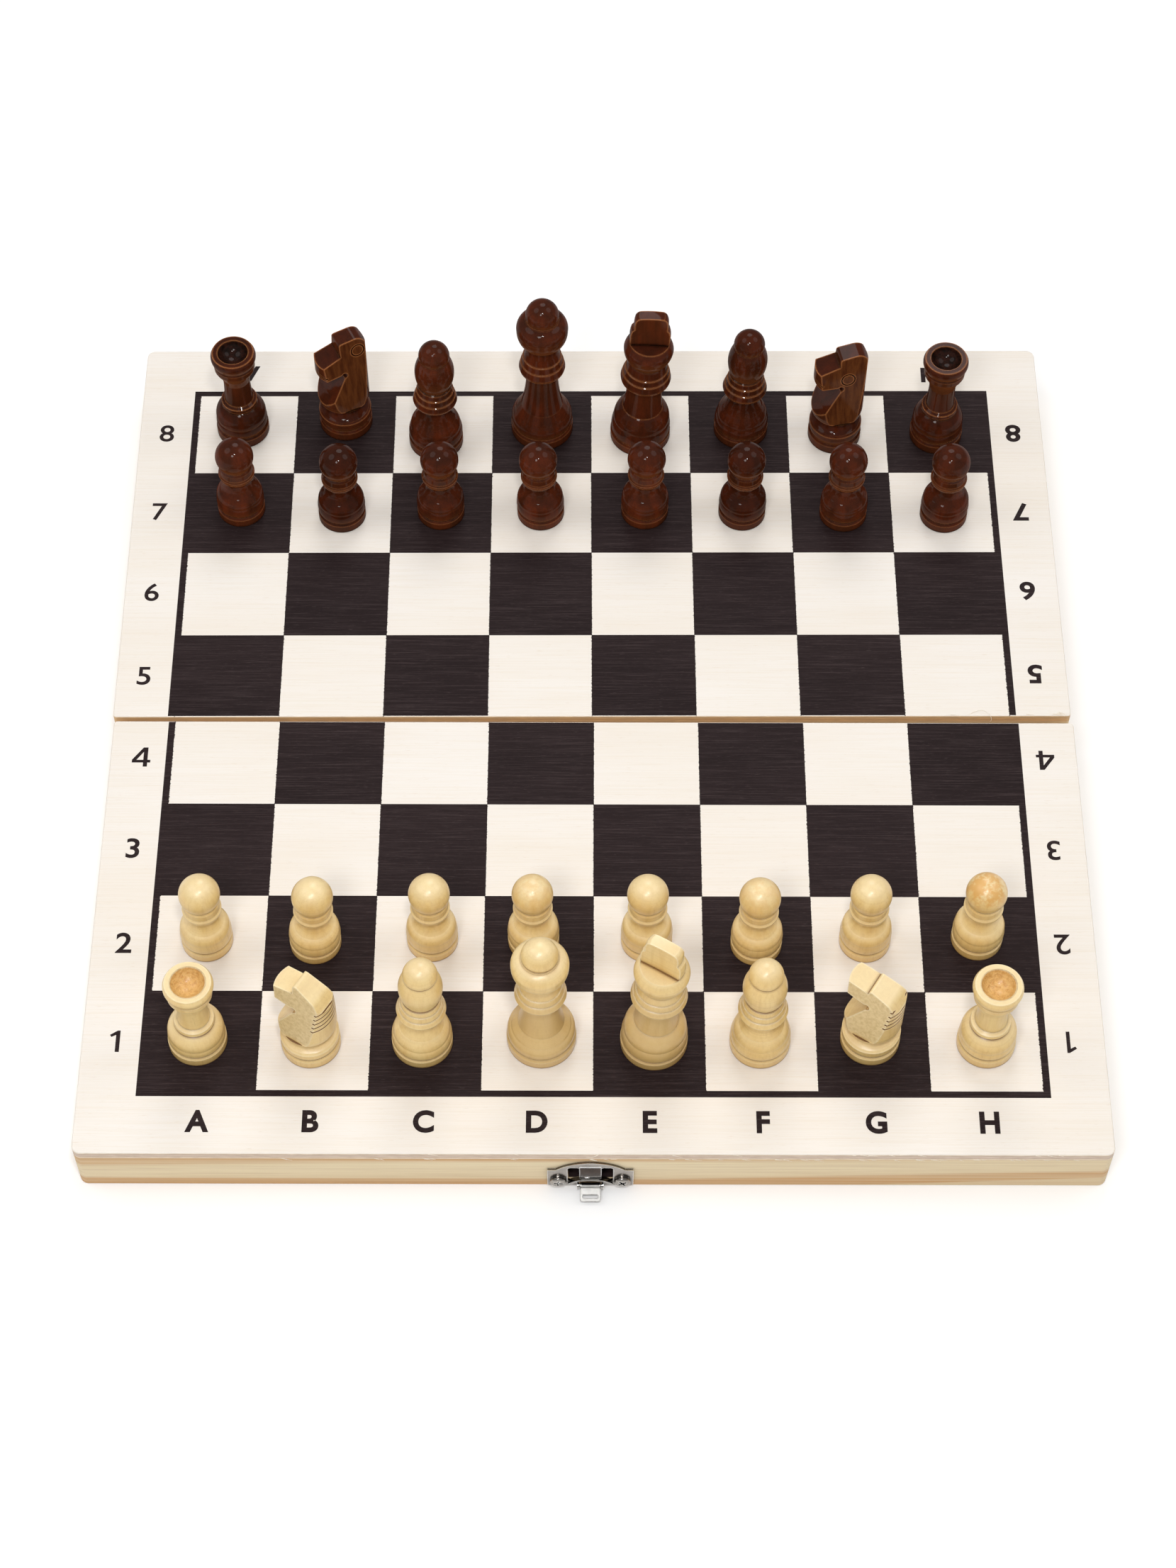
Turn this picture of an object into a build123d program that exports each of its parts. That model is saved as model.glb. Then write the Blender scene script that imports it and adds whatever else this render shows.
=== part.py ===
from build123d import *
import os
from math import atan2, cos, pi, radians, sin, sqrt

# A folding wooden chess board, opened out flat, with its thirty-two men standing on it.
# Millimetres. +X runs along the fold to the right, +Y from the light men to the dark men, +Z up.
# The origin is the middle of the hinge axis, and the rims of both halves lie just above z = 0.

# Board halves
BOARD_WIDTH = 290.0
FOLD_GAP = 2.0
RIM_RELIEF = 0.15
RAIL_HEIGHT = 16.4
RAIL_THICKNESS = 8.5
PANEL_THICKNESS = 3.0
CORNER_RADIUS = 2.5
FOLD_CORNER_RADIUS = 1.0
PANEL_EDGE_ROUND = 0.4

# The back half's wood sits a little askew on its hinges, so the gap widens to the right
BACK_TURN = 0.22
BACK_SHIFT = -0.5

# Printed squares, let into the panels by the depth of the ink
COLUMNS = 8
ROWS_PER_HALF = 4
SIDE_BORDER = 18.6
FRONT_BORDER = 19.7
BACK_BORDER = 19.1
FRAME_LINE = 2.0
INK_DEPTH = 0.2
INK_BLEED = 0.05
INK_STOP = 0.3

# Butt hinges under the two spine rails
HINGE_PLACE = 95.0
LEAF_LENGTH = 25.0
LEAF_WIDTH = 7.0
LEAF_GAUGE = 0.8
BARREL_RADIUS = 1.5
KNUCKLE_LENGTH = 8.2
KNUCKLE_GAP = 0.2
BARREL_CLEARANCE = 0.5
HINGE_PIN_RADIUS = 0.6
HINGE_RUNNING_FIT = 0.05
LEAF_SCREW_PLACE = 8.0
LEAF_SCREW_REACH = 5.0

# Latch plate on the front face, with a square ear at each end of its arch
LATCH_PLACE = -0.8
LATCH_WIDTH = 24.2
LATCH_SHOULDER = 10.6
LATCH_EAR = 2.3
LATCH_CROWN = 15.0
LATCH_FOOT = 1.2
PLATE_GAUGE = 0.8
PLATE_CORNER = 0.8
STRAP_WIDTH = 6.2
STRAP_GAUGE = 0.5
STRAP_FOOT = 6.4
STRAP_HEAD = 13.0
STRAP_STAND = 1.8
WINDOW_WIDTH = 3.3
WINDOW_FOOT = 3.9
WINDOW_HEAD = 12.3
WINDOW_CORNER = 0.9
MORTISE_DEPTH = 4.0
LIP_WIDTH = 12.7
LIP_FOOT = 3.2
LIP_CROWN = 6.1
LIP_THICKNESS = 1.0
LIP_STAND = 1.4

# Hasp on its pin in the latch plate's lugs
HASP_STAND = 1.4
HASP_HEIGHT = 2.3
HASP_WIDTH = 5.8
HASP_REACH = 4.7
HASP_GAUGE = 0.7
HASP_DROOP = 12.0
HASP_CORNER = 0.6
HASP_BARREL_RADIUS = 0.9
HASP_PIN_RADIUS = 0.5
HASP_RUNNING_FIT = 0.05
HASP_SIDE_GAP = 0.2
SLOT_START = 2.8
SLOT_END = 3.8
SLOT_WIDTH = 4.2
LUG_RADIUS = 1.1
LUG_WIDTH = 0.6

# Keeper on the back face
KEEPER_WIDTH = 24.0
KEEPER_HEIGHT = 9.0
KEEPER_FOOT = 0.3
NOSE_REACH = 2.0
NOSE_CLEARANCE = 0.2

# Cross-head screws of the latch and the keeper
SCREW_PLACE = 9.0
SCREW_HEIGHT = 4.6
SCREW_TURNS = {-1: -5.0, 1: 35.0}
SCREW_HEAD_RADIUS = 2.3
SCREW_HEAD_HEIGHT = 1.2
SCREW_HEAD_DOME = 0.7
SCREW_SHANK_RADIUS = 0.9
SCREW_REACH = 6.5
RECESS_WIDTH = 0.6
RECESS_LENGTH = 2.6
RECESS_DEPTH = 0.7
LEAF_SCREW_HEAD_RADIUS = 1.4
LEAF_SCREW_SHANK_RADIUS = 0.7

# Men: the foot that all of them share
FOOT_EDGE = 0.3
FOOT_DISC = 3.0
FOOT_GROOVE = 3.9
FOOT_LIP = 4.8
GROOVE_DEPTH = 0.65

# Height of each dark man, as a multiple of its light fellow
DARK_GROWTH = {"pawn": 1.01, "rook": 1.10, "knight": 1.08, "bishop": 1.06, "queen": 1.13, "king": 1.04}

# Balls and crowns on the turned men's axes
PAWN_BALL = 5.9
PAWN_BALL_MIDDLE = 26.2
PAWN_NECK = 4.65
ROOK_DISH = 30.6
BISHOP_CROWN = 43.8
QUEEN_LIP = 5.4
QUEEN_CROWN = 52.6
KING_LEDGE = 44.1

# The blade on the kings' crowns
BLADE_FOOT = 43.0
BLADE_TOP = 55.5
BLADE_RADIUS = 6.6
BLADE_THICKNESS = 3.5
BLADE_TURN = {"light": -30.0, "dark": 0.0}

# How far the knights' cutting tools reach past the wood
CUT_PAST = 1.0

# Knights: turned blank, leaning facets, the light ones' mane and the dark ones' mouth and eyes
KNIGHT_RADIUS = 8.2
KNIGHT_TOP = 41.0
KNIGHT_DISC = 8.0
FACET_FOOT = 6.9
FACET_HEAD = 2.2
FACET_START = 12.0
CHEST_U = 5.6
CHEST_Z = 16.8
BROW_U = 1.1
BROW_ROUND = 0.9
CROWN_U = -6.0
CROWN_ROUND = 3.5
THROAT_U = 0.8
THROAT_Z = 25.6
THROAT_RADIUS = 1.0
MANE_CUTS = 5
MANE_START = 2.7
MANE_FIRST = 20.6
MANE_PITCH = 2.0
MANE_WIDTH = 0.5
MANE_DEPTH = 0.6
MOUTH_RISE = 1.4
MOUTH_WIDTH = 0.4
MOUTH_DEPTH = 0.4
EYE_RADIUS = 2.3
EYE_LINE = 0.4
EYE_DEPTH = 0.35

# Derived places
HALF_WIDTH = BOARD_WIDTH / 2
FOLD_Y = FOLD_GAP / 2
OUTER_Y = HALF_WIDTH
HALF_DEPTH = OUTER_Y - FOLD_Y
PANEL_FOOT = RIM_RELIEF + RAIL_HEIGHT
PLAY_Z = PANEL_FOOT + PANEL_THICKNESS
SQUARE = (BOARD_WIDTH - 2 * SIDE_BORDER) / COLUMNS
GRID_X = -COLUMNS / 2 * SQUARE
EDGE_ROW_Y = -OUTER_Y + FRONT_BORDER + SQUARE / 2
WINDOW_START = STRAP_WIDTH / 2
KNUCKLE_END = LEAF_LENGTH / 2
KNUCKLE_START = KNUCKLE_END - KNUCKLE_LENGTH
OUTER_KNUCKLES = [(-KNUCKLE_END, -KNUCKLE_START), (KNUCKLE_START, KNUCKLE_END)]
MIDDLE_KNUCKLE = [(-KNUCKLE_START + KNUCKLE_GAP, KNUCKLE_START - KNUCKLE_GAP)]

FRONT_FACE = Plane(origin=(LATCH_PLACE, -OUTER_Y, RIM_RELIEF), x_dir=(1, 0, 0), z_dir=(0, -1, 0))
BACK_FACE = Plane(origin=(LATCH_PLACE, OUTER_Y, RIM_RELIEF), x_dir=(-1, 0, 0), z_dir=(0, 1, 0))
HASP_AXIS = Plane(
    origin=(LATCH_PLACE, -OUTER_Y - HASP_STAND, RIM_RELIEF + HASP_HEIGHT), x_dir=(0, 1, 0), z_dir=(1, 0, 0)
)
ALONG_FOLD = Plane(origin=(0, 0, 0), x_dir=(0, 1, 0), z_dir=(1, 0, 0))
UNTURNED = Rot(0, 0, 0)
HALF_TURN = Rot(0, 0, 180)

nodes = {}


def block(x0, x1, y0, y1, z0, z1):
    """A box between two opposite corners."""
    return Pos((x0 + x1) / 2, (y0 + y1) / 2, (z0 + z1) / 2) * Box(x1 - x0, y1 - y0, z1 - z0)


def rod(plane, radius, start, end):
    """A round bar along a plane's normal."""
    return plane * Pos(0, 0, (start + end) / 2) * Cylinder(radius, end - start)


def half_plan():
    """Plan of the front half, rounded at its four corners."""
    plan = Pos(0, -(OUTER_Y + FOLD_Y) / 2) * Rectangle(BOARD_WIDTH, HALF_DEPTH)
    plan = fillet(plan.vertices().group_by(Axis.Y)[0], CORNER_RADIUS)
    return fillet(plan.vertices().group_by(Axis.Y)[-1], FOLD_CORNER_RADIUS)


def dark_print(border):
    """Dark squares and frame line of the front half, each square grown by the ink's bleed."""
    left = GRID_X
    right = -GRID_X
    bottom = -OUTER_Y + border
    top = -FOLD_Y - INK_STOP
    ink = Sketch()
    for column in range(COLUMNS):
        for row in range(ROWS_PER_HALF):
            if (column + row) % 2 == 0:
                x0 = left + column * SQUARE - INK_BLEED
                x1 = left + (column + 1) * SQUARE + INK_BLEED
                y0 = bottom + row * SQUARE - INK_BLEED
                y1 = min(bottom + (row + 1) * SQUARE + INK_BLEED, top)
                ink += Pos((x0 + x1) / 2, (y0 + y1) / 2) * Rectangle(x1 - x0, y1 - y0)
    height = top - bottom
    around = Rectangle(right - left + 2 * FRAME_LINE, height + FRAME_LINE)
    around = Pos(0, (top + bottom - FRAME_LINE) / 2) * around
    inside = Pos(0, (top + bottom) / 2) * Rectangle(right - left, height)
    ink += around - inside
    return Pos(0, 0, PLAY_Z - INK_DEPTH) * extrude(ink, INK_DEPTH)


def hinge_rooms():
    """Beds of both leaves of the front half, and room round both barrels."""
    room = LEAF_LENGTH / 2 + BARREL_CLEARANCE
    bed = block(-LEAF_LENGTH / 2, LEAF_LENGTH / 2, -FOLD_Y - LEAF_WIDTH, 0,
                RIM_RELIEF, RIM_RELIEF + LEAF_GAUGE)
    bed += rod(ALONG_FOLD, BARREL_RADIUS + BARREL_CLEARANCE, -room, room)
    return Pos(-HINGE_PLACE, 0, 0) * bed + Pos(HINGE_PLACE, 0, 0) * bed


def hinge_leaf(knuckles, bore):
    """A front leaf about its own middle, with its knuckles between pairs of X values."""
    clear = BARREL_RADIUS + BARREL_CLEARANCE
    leaf = block(-LEAF_LENGTH / 2, LEAF_LENGTH / 2, -FOLD_Y - LEAF_WIDTH, -clear,
                 RIM_RELIEF, RIM_RELIEF + LEAF_GAUGE)
    for start, end in knuckles:
        leaf += block(start, end, -clear, 0, RIM_RELIEF, RIM_RELIEF + LEAF_GAUGE)
        leaf += rod(ALONG_FOLD, BARREL_RADIUS, start, end)
    return leaf - rod(ALONG_FOLD, bore, -LEAF_LENGTH, LEAF_LENGTH)


def countersunk_screw():
    """A small flat-head screw pointing up, its head's face at the rim."""
    cone = LEAF_SCREW_HEAD_RADIUS - LEAF_SCREW_SHANK_RADIUS
    head = Pos(0, 0, cone / 2) * Cone(LEAF_SCREW_HEAD_RADIUS, LEAF_SCREW_SHANK_RADIUS, cone)
    shank = Pos(0, 0, (cone + LEAF_SCREW_REACH) / 2) * Cylinder(
        LEAF_SCREW_SHANK_RADIUS, LEAF_SCREW_REACH - cone
    )
    return head + shank


def leaf_screw_places():
    """Where the screws of both front leaves stand."""
    y = -FOLD_Y - LEAF_WIDTH / 2 - BARREL_CLEARANCE
    return [
        Pos(side * HINGE_PLACE + place * LEAF_SCREW_PLACE, y, RIM_RELIEF)
        for side in (-1, 1)
        for place in (-1, 1)
    ]


def cross_recess():
    """The cross cut in a screw's face, opening up."""
    arm = Box(RECESS_LENGTH, RECESS_WIDTH, RECESS_DEPTH)
    return Pos(0, 0, SCREW_HEAD_HEIGHT - RECESS_DEPTH / 2) * (arm + Rot(0, 0, 90) * arm)


def domed_screw():
    """A round-head screw pointing down into the wood, its head standing on z = 0."""
    head = Pos(0, 0, SCREW_HEAD_HEIGHT / 2) * Cylinder(SCREW_HEAD_RADIUS, SCREW_HEAD_HEIGHT)
    head = fillet(head.edges().group_by(Axis.Z)[-1], SCREW_HEAD_DOME)
    reach = PLATE_GAUGE + SCREW_REACH
    shank = Pos(0, 0, -reach / 2) * Cylinder(SCREW_SHANK_RADIUS, reach)
    return head + shank - cross_recess()


def screw_pair(face):
    """Two round-head screws on the outside of a plate, either side of its middle."""
    return [
        face * Pos(side * SCREW_PLACE, SCREW_HEIGHT, PLATE_GAUGE) * Rot(0, 0, turn) * domed_screw()
        for side, turn in SCREW_TURNS.items()
    ]


def screw_holes(face):
    """Holes for a pair of screws, through the plate and into the rail."""
    reach = PLATE_GAUGE + SCREW_REACH
    hole = Pos(0, 0, PLATE_GAUGE - reach / 2) * Cylinder(SCREW_SHANK_RADIUS, reach)
    return face * (Pos(-SCREW_PLACE, SCREW_HEIGHT) * hole + Pos(SCREW_PLACE, SCREW_HEIGHT) * hole)


def windows():
    """The two openings of the latch plate, either side of its strap."""
    height = WINDOW_HEAD - WINDOW_FOOT
    shape = RectangleRounded(WINDOW_WIDTH, height, WINDOW_CORNER)
    x = WINDOW_START + WINDOW_WIDTH / 2
    y = (WINDOW_HEAD + WINDOW_FOOT) / 2
    return Pos(-x, y) * shape + Pos(x, y) * shape


def latch_mortise():
    """Pocket in the front rail behind the windows and the strap."""
    half = WINDOW_START + WINDOW_WIDTH
    pocket = block(-half, half, WINDOW_FOOT, WINDOW_HEAD, -MORTISE_DEPTH, 0)
    return FRONT_FACE * pocket


def arch_band(width, foot, crown, thickness):
    """A band that rises from its two feet to a crown in the middle."""
    half = width / 2
    outer = ThreePointArc((-half, foot), (0, crown), (half, foot))
    inner = ThreePointArc((half - thickness, foot), (0, crown - thickness), (thickness - half, foot))
    return make_face([outer, Line(outer @ 1, inner @ 0), inner, Line(inner @ 1, outer @ 0)])


def latch_plate():
    """Arched plate with its two windows, curved lip and the pair of lugs for the hasp's pin."""
    half = LATCH_WIDTH / 2
    spring = half - LATCH_EAR
    top = ThreePointArc((spring, LATCH_SHOULDER), (0, LATCH_CROWN), (-spring, LATCH_SHOULDER))
    sides = Polyline(
        (-spring, LATCH_SHOULDER), (-half, LATCH_SHOULDER), (-half, LATCH_FOOT),
        (half, LATCH_FOOT), (half, LATCH_SHOULDER), (spring, LATCH_SHOULDER),
    )
    outline = make_face([top, *sides.edges()])
    outline = fillet(outline.vertices().group_by(Axis.Y)[0], PLATE_CORNER)
    plate = extrude(outline - windows(), PLATE_GAUGE)
    plate += extrude(arch_band(LIP_WIDTH, LIP_FOOT, LIP_CROWN, LIP_THICKNESS), LIP_STAND)
    inner = HASP_WIDTH / 2 + HASP_SIDE_GAP
    outer = inner + LUG_WIDTH
    for side in (-1, 1):
        near, far = sorted((side * inner, side * outer))
        plate += block(near, far, HASP_HEIGHT - LUG_RADIUS, HASP_HEIGHT + LUG_RADIUS, 0, HASP_STAND)
    plate = FRONT_FACE * plate
    plate += rod(HASP_AXIS, LUG_RADIUS, -outer, -inner) + rod(HASP_AXIS, LUG_RADIUS, inner, outer)
    room = HASP_BARREL_RADIUS + HASP_SIDE_GAP
    plate -= FRONT_FACE * block(-inner, inner, LATCH_FOOT - PLATE_GAUGE, HASP_HEIGHT + room, 0, LIP_STAND)
    return plate - rod(HASP_AXIS, HASP_PIN_RADIUS, -outer, outer) - screw_holes(FRONT_FACE)


def latch_spring():
    """Bowed strap over the middle of the plate."""
    bow = ThreePointArc((STRAP_FOOT, PLATE_GAUGE), ((STRAP_FOOT + STRAP_HEAD) / 2, STRAP_STAND),
                        (STRAP_HEAD, PLATE_GAUGE))
    under = ThreePointArc((STRAP_HEAD - STRAP_GAUGE, PLATE_GAUGE),
                          ((STRAP_FOOT + STRAP_HEAD) / 2, STRAP_STAND - STRAP_GAUGE),
                          (STRAP_FOOT + STRAP_GAUGE, PLATE_GAUGE))
    side = make_face([bow, Line(bow @ 1, under @ 0), under, Line(under @ 1, bow @ 0)])
    upright = Plane(origin=(-STRAP_WIDTH / 2, 0, 0), x_dir=(0, 1, 0), z_dir=(1, 0, 0))
    return FRONT_FACE * extrude(upright * side, STRAP_WIDTH)


def hasp():
    """Slotted tongue on a barrel, drooping a little from level."""
    half = HASP_WIDTH / 2
    tongue = block(-half, half, -HASP_REACH, 0, -HASP_GAUGE / 2, HASP_GAUGE / 2)
    tip = tongue.edges().filter_by(Axis.Z).group_by(Axis.Y)[0]
    tongue = fillet(tip, HASP_CORNER)
    body = tongue + rod(ALONG_FOLD, HASP_BARREL_RADIUS, -half, half)
    body -= block(-SLOT_WIDTH / 2, SLOT_WIDTH / 2, -SLOT_END, -SLOT_START, -HASP_GAUGE, HASP_GAUGE)
    body -= rod(ALONG_FOLD, HASP_PIN_RADIUS + HASP_RUNNING_FIT, -half, half)
    axis = HASP_AXIS.origin
    return Pos(axis.X, axis.Y, axis.Z) * Rot(HASP_DROOP, 0, 0) * body


def keeper_plate():
    """Plate on the back face whose nose stands in the hasp's slot when the board is shut."""
    middle = KEEPER_FOOT + KEEPER_HEIGHT / 2
    outline = Pos(0, middle) * RectangleRounded(KEEPER_WIDTH, KEEPER_HEIGHT, PLATE_CORNER)
    plate = extrude(outline, PLATE_GAUGE)
    slot_middle = (SLOT_START + SLOT_END) / 2 - HASP_HEIGHT - 2 * RIM_RELIEF
    nose_half = (SLOT_END - SLOT_START) / 2 - NOSE_CLEARANCE
    nose_side = SLOT_WIDTH / 2 - NOSE_CLEARANCE
    plate += block(-nose_side, nose_side, slot_middle - nose_half, slot_middle + nose_half, 0, NOSE_REACH)
    return BACK_FACE * plate - screw_holes(BACK_FACE)


def half_wood(border):
    """Panel, print and rails of a half, as for the front one."""
    plan = half_plan()
    body = Pos(0, 0, RIM_RELIEF) * extrude(plan, RAIL_HEIGHT)
    side_x = HALF_WIDTH - RAIL_THICKNESS
    edge_y = -OUTER_Y + RAIL_THICKNESS
    spine_y = -FOLD_Y - RAIL_THICKNESS
    span = (RIM_RELIEF, PANEL_FOOT)
    ink = dark_print(border)
    panel = Pos(0, 0, PANEL_FOOT) * extrude(plan, PANEL_THICKNESS)
    panel = fillet(panel.faces().sort_by(Axis.Z)[-1].edges(), PANEL_EDGE_ROUND)
    return {
        "panel": panel - ink,
        "print": ink,
        "edge": body & block(-HALF_WIDTH, HALF_WIDTH, -OUTER_Y, edge_y, *span),
        "left": body & block(-HALF_WIDTH, -side_x, edge_y, spine_y, *span),
        "right": body & block(side_x, HALF_WIDTH, edge_y, spine_y, *span),
        "spine": body & block(-HALF_WIDTH, HALF_WIDTH, spine_y, -FOLD_Y, *span),
    }


def hang_leaves(half, turn, spine, knuckles, bore):
    """The spine rail of one half with its beds cut, its two leaves and their four screws."""
    screws = [turn * place * countersunk_screw() for place in leaf_screw_places()]
    leaf = turn * hinge_leaf(knuckles, bore)
    spine -= turn * hinge_rooms()
    leaves = {
        "left": Pos(-HINGE_PLACE, 0, 0) * leaf,
        "right": Pos(HINGE_PLACE, 0, 0) * leaf,
    }
    for screw in screws:
        spine -= screw
        for side in leaves:
            leaves[side] -= screw
    nodes[f"{half}_spine_rail"] = spine
    for side, shape in leaves.items():
        nodes[f"{side}_hinge_{half}_leaf"] = shape
    nodes[f"hinge_{half}_screws"] = Compound(screws)


def front_board():
    """The front half with its hinges' front leaves, pins and latch."""
    wood = half_wood(FRONT_BORDER)
    nodes["front_panel"] = wood["panel"]
    nodes["front_dark_print"] = wood["print"]
    nodes["front_latch_rail"] = wood["edge"] - latch_mortise() - screw_holes(FRONT_FACE)
    nodes["front_left_rail"] = wood["left"]
    nodes["front_right_rail"] = wood["right"]
    hang_leaves("front", UNTURNED, wood["spine"], OUTER_KNUCKLES, HINGE_PIN_RADIUS)
    pin = rod(ALONG_FOLD, HINGE_PIN_RADIUS, -LEAF_LENGTH / 2, LEAF_LENGTH / 2)
    nodes["left_hinge_pin"] = Pos(-HINGE_PLACE, 0, 0) * pin
    nodes["right_hinge_pin"] = Pos(HINGE_PLACE, 0, 0) * pin
    latch_pin_half = HASP_WIDTH / 2 + HASP_SIDE_GAP + LUG_WIDTH
    nodes["latch_plate"] = latch_plate()
    nodes["latch_spring"] = latch_spring()
    nodes["latch_pin"] = rod(HASP_AXIS, HASP_PIN_RADIUS, -latch_pin_half, latch_pin_half)
    nodes["latch_screws"] = Compound(screw_pair(FRONT_FACE))


def keeper_flat():
    """What is planed off the askew back rail so that the keeper lies flat on it."""
    half = KEEPER_WIDTH / 2
    return BACK_FACE * block(-half, half, KEEPER_FOOT, KEEPER_FOOT + KEEPER_HEIGHT, 0, PLATE_GAUGE)


def back_board():
    """The back half, the front half's plan turned about the fold, with its leaves and keeper."""
    askew = Pos(BACK_SHIFT, 0, 0) * Rot(0, 0, BACK_TURN) * HALF_TURN
    wood = {name: askew * shape for name, shape in half_wood(BACK_BORDER).items()}
    nodes["back_panel"] = wood["panel"]
    nodes["back_dark_print"] = wood["print"]
    nodes["back_keeper_rail"] = wood["edge"] - keeper_flat() - screw_holes(BACK_FACE)
    nodes["back_left_rail"] = wood["right"]
    nodes["back_right_rail"] = wood["left"]
    hang_leaves("back", HALF_TURN, wood["spine"], MIDDLE_KNUCKLE, HINGE_PIN_RADIUS + HINGE_RUNNING_FIT)
    nodes["keeper_plate"] = keeper_plate()
    nodes["keeper_screws"] = Compound(screw_pair(BACK_FACE))


def foot(base, lip, lip_height=FOOT_LIP):
    """Base disc, groove and the lower lip of the stem, as (radius, height) points."""
    return [
        (0, 0),
        (base - FOOT_EDGE, 0),
        (base, FOOT_EDGE),
        (base, FOOT_DISC),
        (base - GROOVE_DEPTH, FOOT_GROOVE),
        (lip, lip_height),
    ]


def cap(radius, height, crown):
    """Round cap from a ring up, or a dish down, to a crown on the axis, centred on the axis."""
    if crown == height:
        return Line((radius, 0, height), (0, 0, crown))
    middle = (crown**2 - height**2 - radius**2) / (2 * (crown - height))
    ball = abs(crown - middle)
    start = atan2(height - middle, radius)
    end = pi / 2 if crown > middle else -pi / 2
    half = (start + end) / 2
    return ThreePointArc(
        (radius, 0, height), (ball * cos(half), 0, middle + ball * sin(half)), (0, 0, crown)
    )


def turned(outline, crown, growth=1.0):
    """A body turned from (radius, height) points, capped at its crown.

    A third value bows the line up to its point outward.
    """
    points = [(point[0], point[1] * growth, *point[2:]) for point in outline]
    edges = []
    for (r0, z0, *_), (r1, z1, *bow) in zip(points, points[1:]):
        start = Vector(r0, 0, z0)
        end = Vector(r1, 0, z1)
        if bow:
            outward = Vector(z1 - z0, 0, r0 - r1).normalized()
            edges.append(ThreePointArc(start, (start + end) / 2 + outward * bow[0], end))
        else:
            edges.append(Line(start, end))
    edges.append(cap(points[-1][0], points[-1][1], crown * growth))
    edges.append(Line((0, 0, crown * growth), (0, 0, points[0][1])))
    return revolve(make_face(edges), Axis.Z)


def pawn_outline():
    """Bell and collar of a pawn, up to the neck on its ball."""
    neck_height = PAWN_BALL_MIDDLE - sqrt(PAWN_BALL**2 - PAWN_NECK**2)
    return foot(7.4, 7.35) + [
        (7.2, 8.0, 0.15), (5.6, 11.5, 0.5), (4.0, 16.5, -0.6), (4.6, 17.4), (5.5, 17.9), (5.65, 18.6),
        (5.65, 19.0), (5.2, 19.6), (5.1, 21.6), (PAWN_NECK, neck_height),
    ]


ROOK_OUTLINE = foot(8.3, 8.1) + [
    (7.9, 7.0, 0.1), (5.4, 12.2, 0.9), (5.75, 12.9), (5.6, 14.0), (4.55, 14.7), (4.15, 22.5, -0.1),
    (4.6, 24.6), (6.0, 27.2, -0.2), (6.35, 28.0), (6.45, 29.6), (6.1, 30.2), (6.7, 30.8), (7.0, 31.8),
    (6.95, 33.2, 0.1), (6.5, 34.0), (4.8, 34.0),
]
BISHOP_OUTLINE = foot(8.6, 8.5) + [
    (8.0, 8.0, 0.2), (6.3, 11.8, 0.4), (4.5, 18.8, -0.5), (6.8, 19.6), (7.0, 20.3), (6.5, 22.0),
    (6.2, 22.2), (5.9, 24.2), (5.6, 24.4), (5.3, 26.2), (4.9, 26.5), (6.2, 32.0, 0.3), (4.8, 37.6, 0.4),
    (4.4, 38.1), (4.8, 38.7), (4.85, 39.6),
]
QUEEN_OUTLINE = foot(9.85, 9.6, QUEEN_LIP) + [
    (8.5, 8.6, 0.4), (8.2, 9.2), (6.6, 11.4), (5.0, 26.0, -0.5), (7.1, 26.4), (7.3, 27.2), (6.8, 29.2),
    (6.5, 29.4), (6.1, 31.5), (5.8, 31.7), (5.2, 33.7), (4.9, 36.3), (8.0, 42.0, 0.9), (5.3, 46.2, 1.0),
    (4.9, 46.6), (5.2, 47.8),
]
KING_OUTLINE = foot(9.55, 9.35) + [
    (8.9, 9.0, 0.2), (6.3, 14.6, 0.8), (5.6, 27.0, -0.3), (7.8, 27.4), (7.95, 28.2), (7.5, 30.2),
    (7.2, 30.4), (6.8, 32.4), (6.5, 32.6), (6.0, 35.0), (5.7, 35.6), (7.8, 41.0, 0.5), (6.2, 43.9, 0.3),
]
BLADE_OUTLINE = [
    (0, BLADE_FOOT), (5.9, BLADE_FOOT), (6.35, 46.5, 0.2), (6.0, 49.6, 0.2), (5.3, 50.4), (5.3, 53.4, 0.1),
    (4.0, 55.2, 0.3),
]
KNIGHT_BLANK = foot(8.4, 8.2) + [
    (8.3, 5.4), (8.3, 7.0), (7.7, 7.6), (5.2, 10.6, -0.5), (5.2, 11.2), (7.9, 12.3, 0.2),
    (KNIGHT_RADIUS, 14.0), (KNIGHT_RADIUS, KNIGHT_TOP),
]
TURNED_KINDS = {
    "pawn": (pawn_outline(), PAWN_BALL_MIDDLE + PAWN_BALL),
    "rook": (ROOK_OUTLINE, ROOK_DISH),
    "bishop": (BISHOP_OUTLINE, BISHOP_CROWN),
    "queen": (QUEEN_OUTLINE, QUEEN_CROWN),
}

# Each hand-cut knight: its turn, and the heights of its nape, crown, brow, nose bridge, muzzle and lip
KNIGHT_CUTS = {
    ("light", "b"): (148.0, (26.0, 32.5, 37.2, 33.0, 31.6, 27.4)),
    ("light", "g"): (148.0, (25.0, 30.3, 32.9, 31.4, 32.8, 28.2)),
    ("dark", "b"): (207.0, (33.5, 37.6, 37.2, 32.6, 30.0, 25.4)),
    ("dark", "g"): (192.0, (33.5, 37.6, 36.4, 33.8, 31.2, 26.4)),
}

# Where the eyes of each dark knight stand, towards the muzzle and up
EYES = {"b": (-4.7, 33.2), "g": (-1.5, 28.9)}


def king(growth, turn):
    """A turned king with the flat blade on its crown."""
    half = BLADE_THICKNESS / 2
    blade = turned(BLADE_OUTLINE, BLADE_TOP, growth)
    blade &= block(-BLADE_RADIUS, BLADE_RADIUS, -half, half, 0, BLADE_TOP * growth)
    return turned(KING_OUTLINE, KING_LEDGE, growth) + Rot(0, 0, turn) * blade


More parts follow.
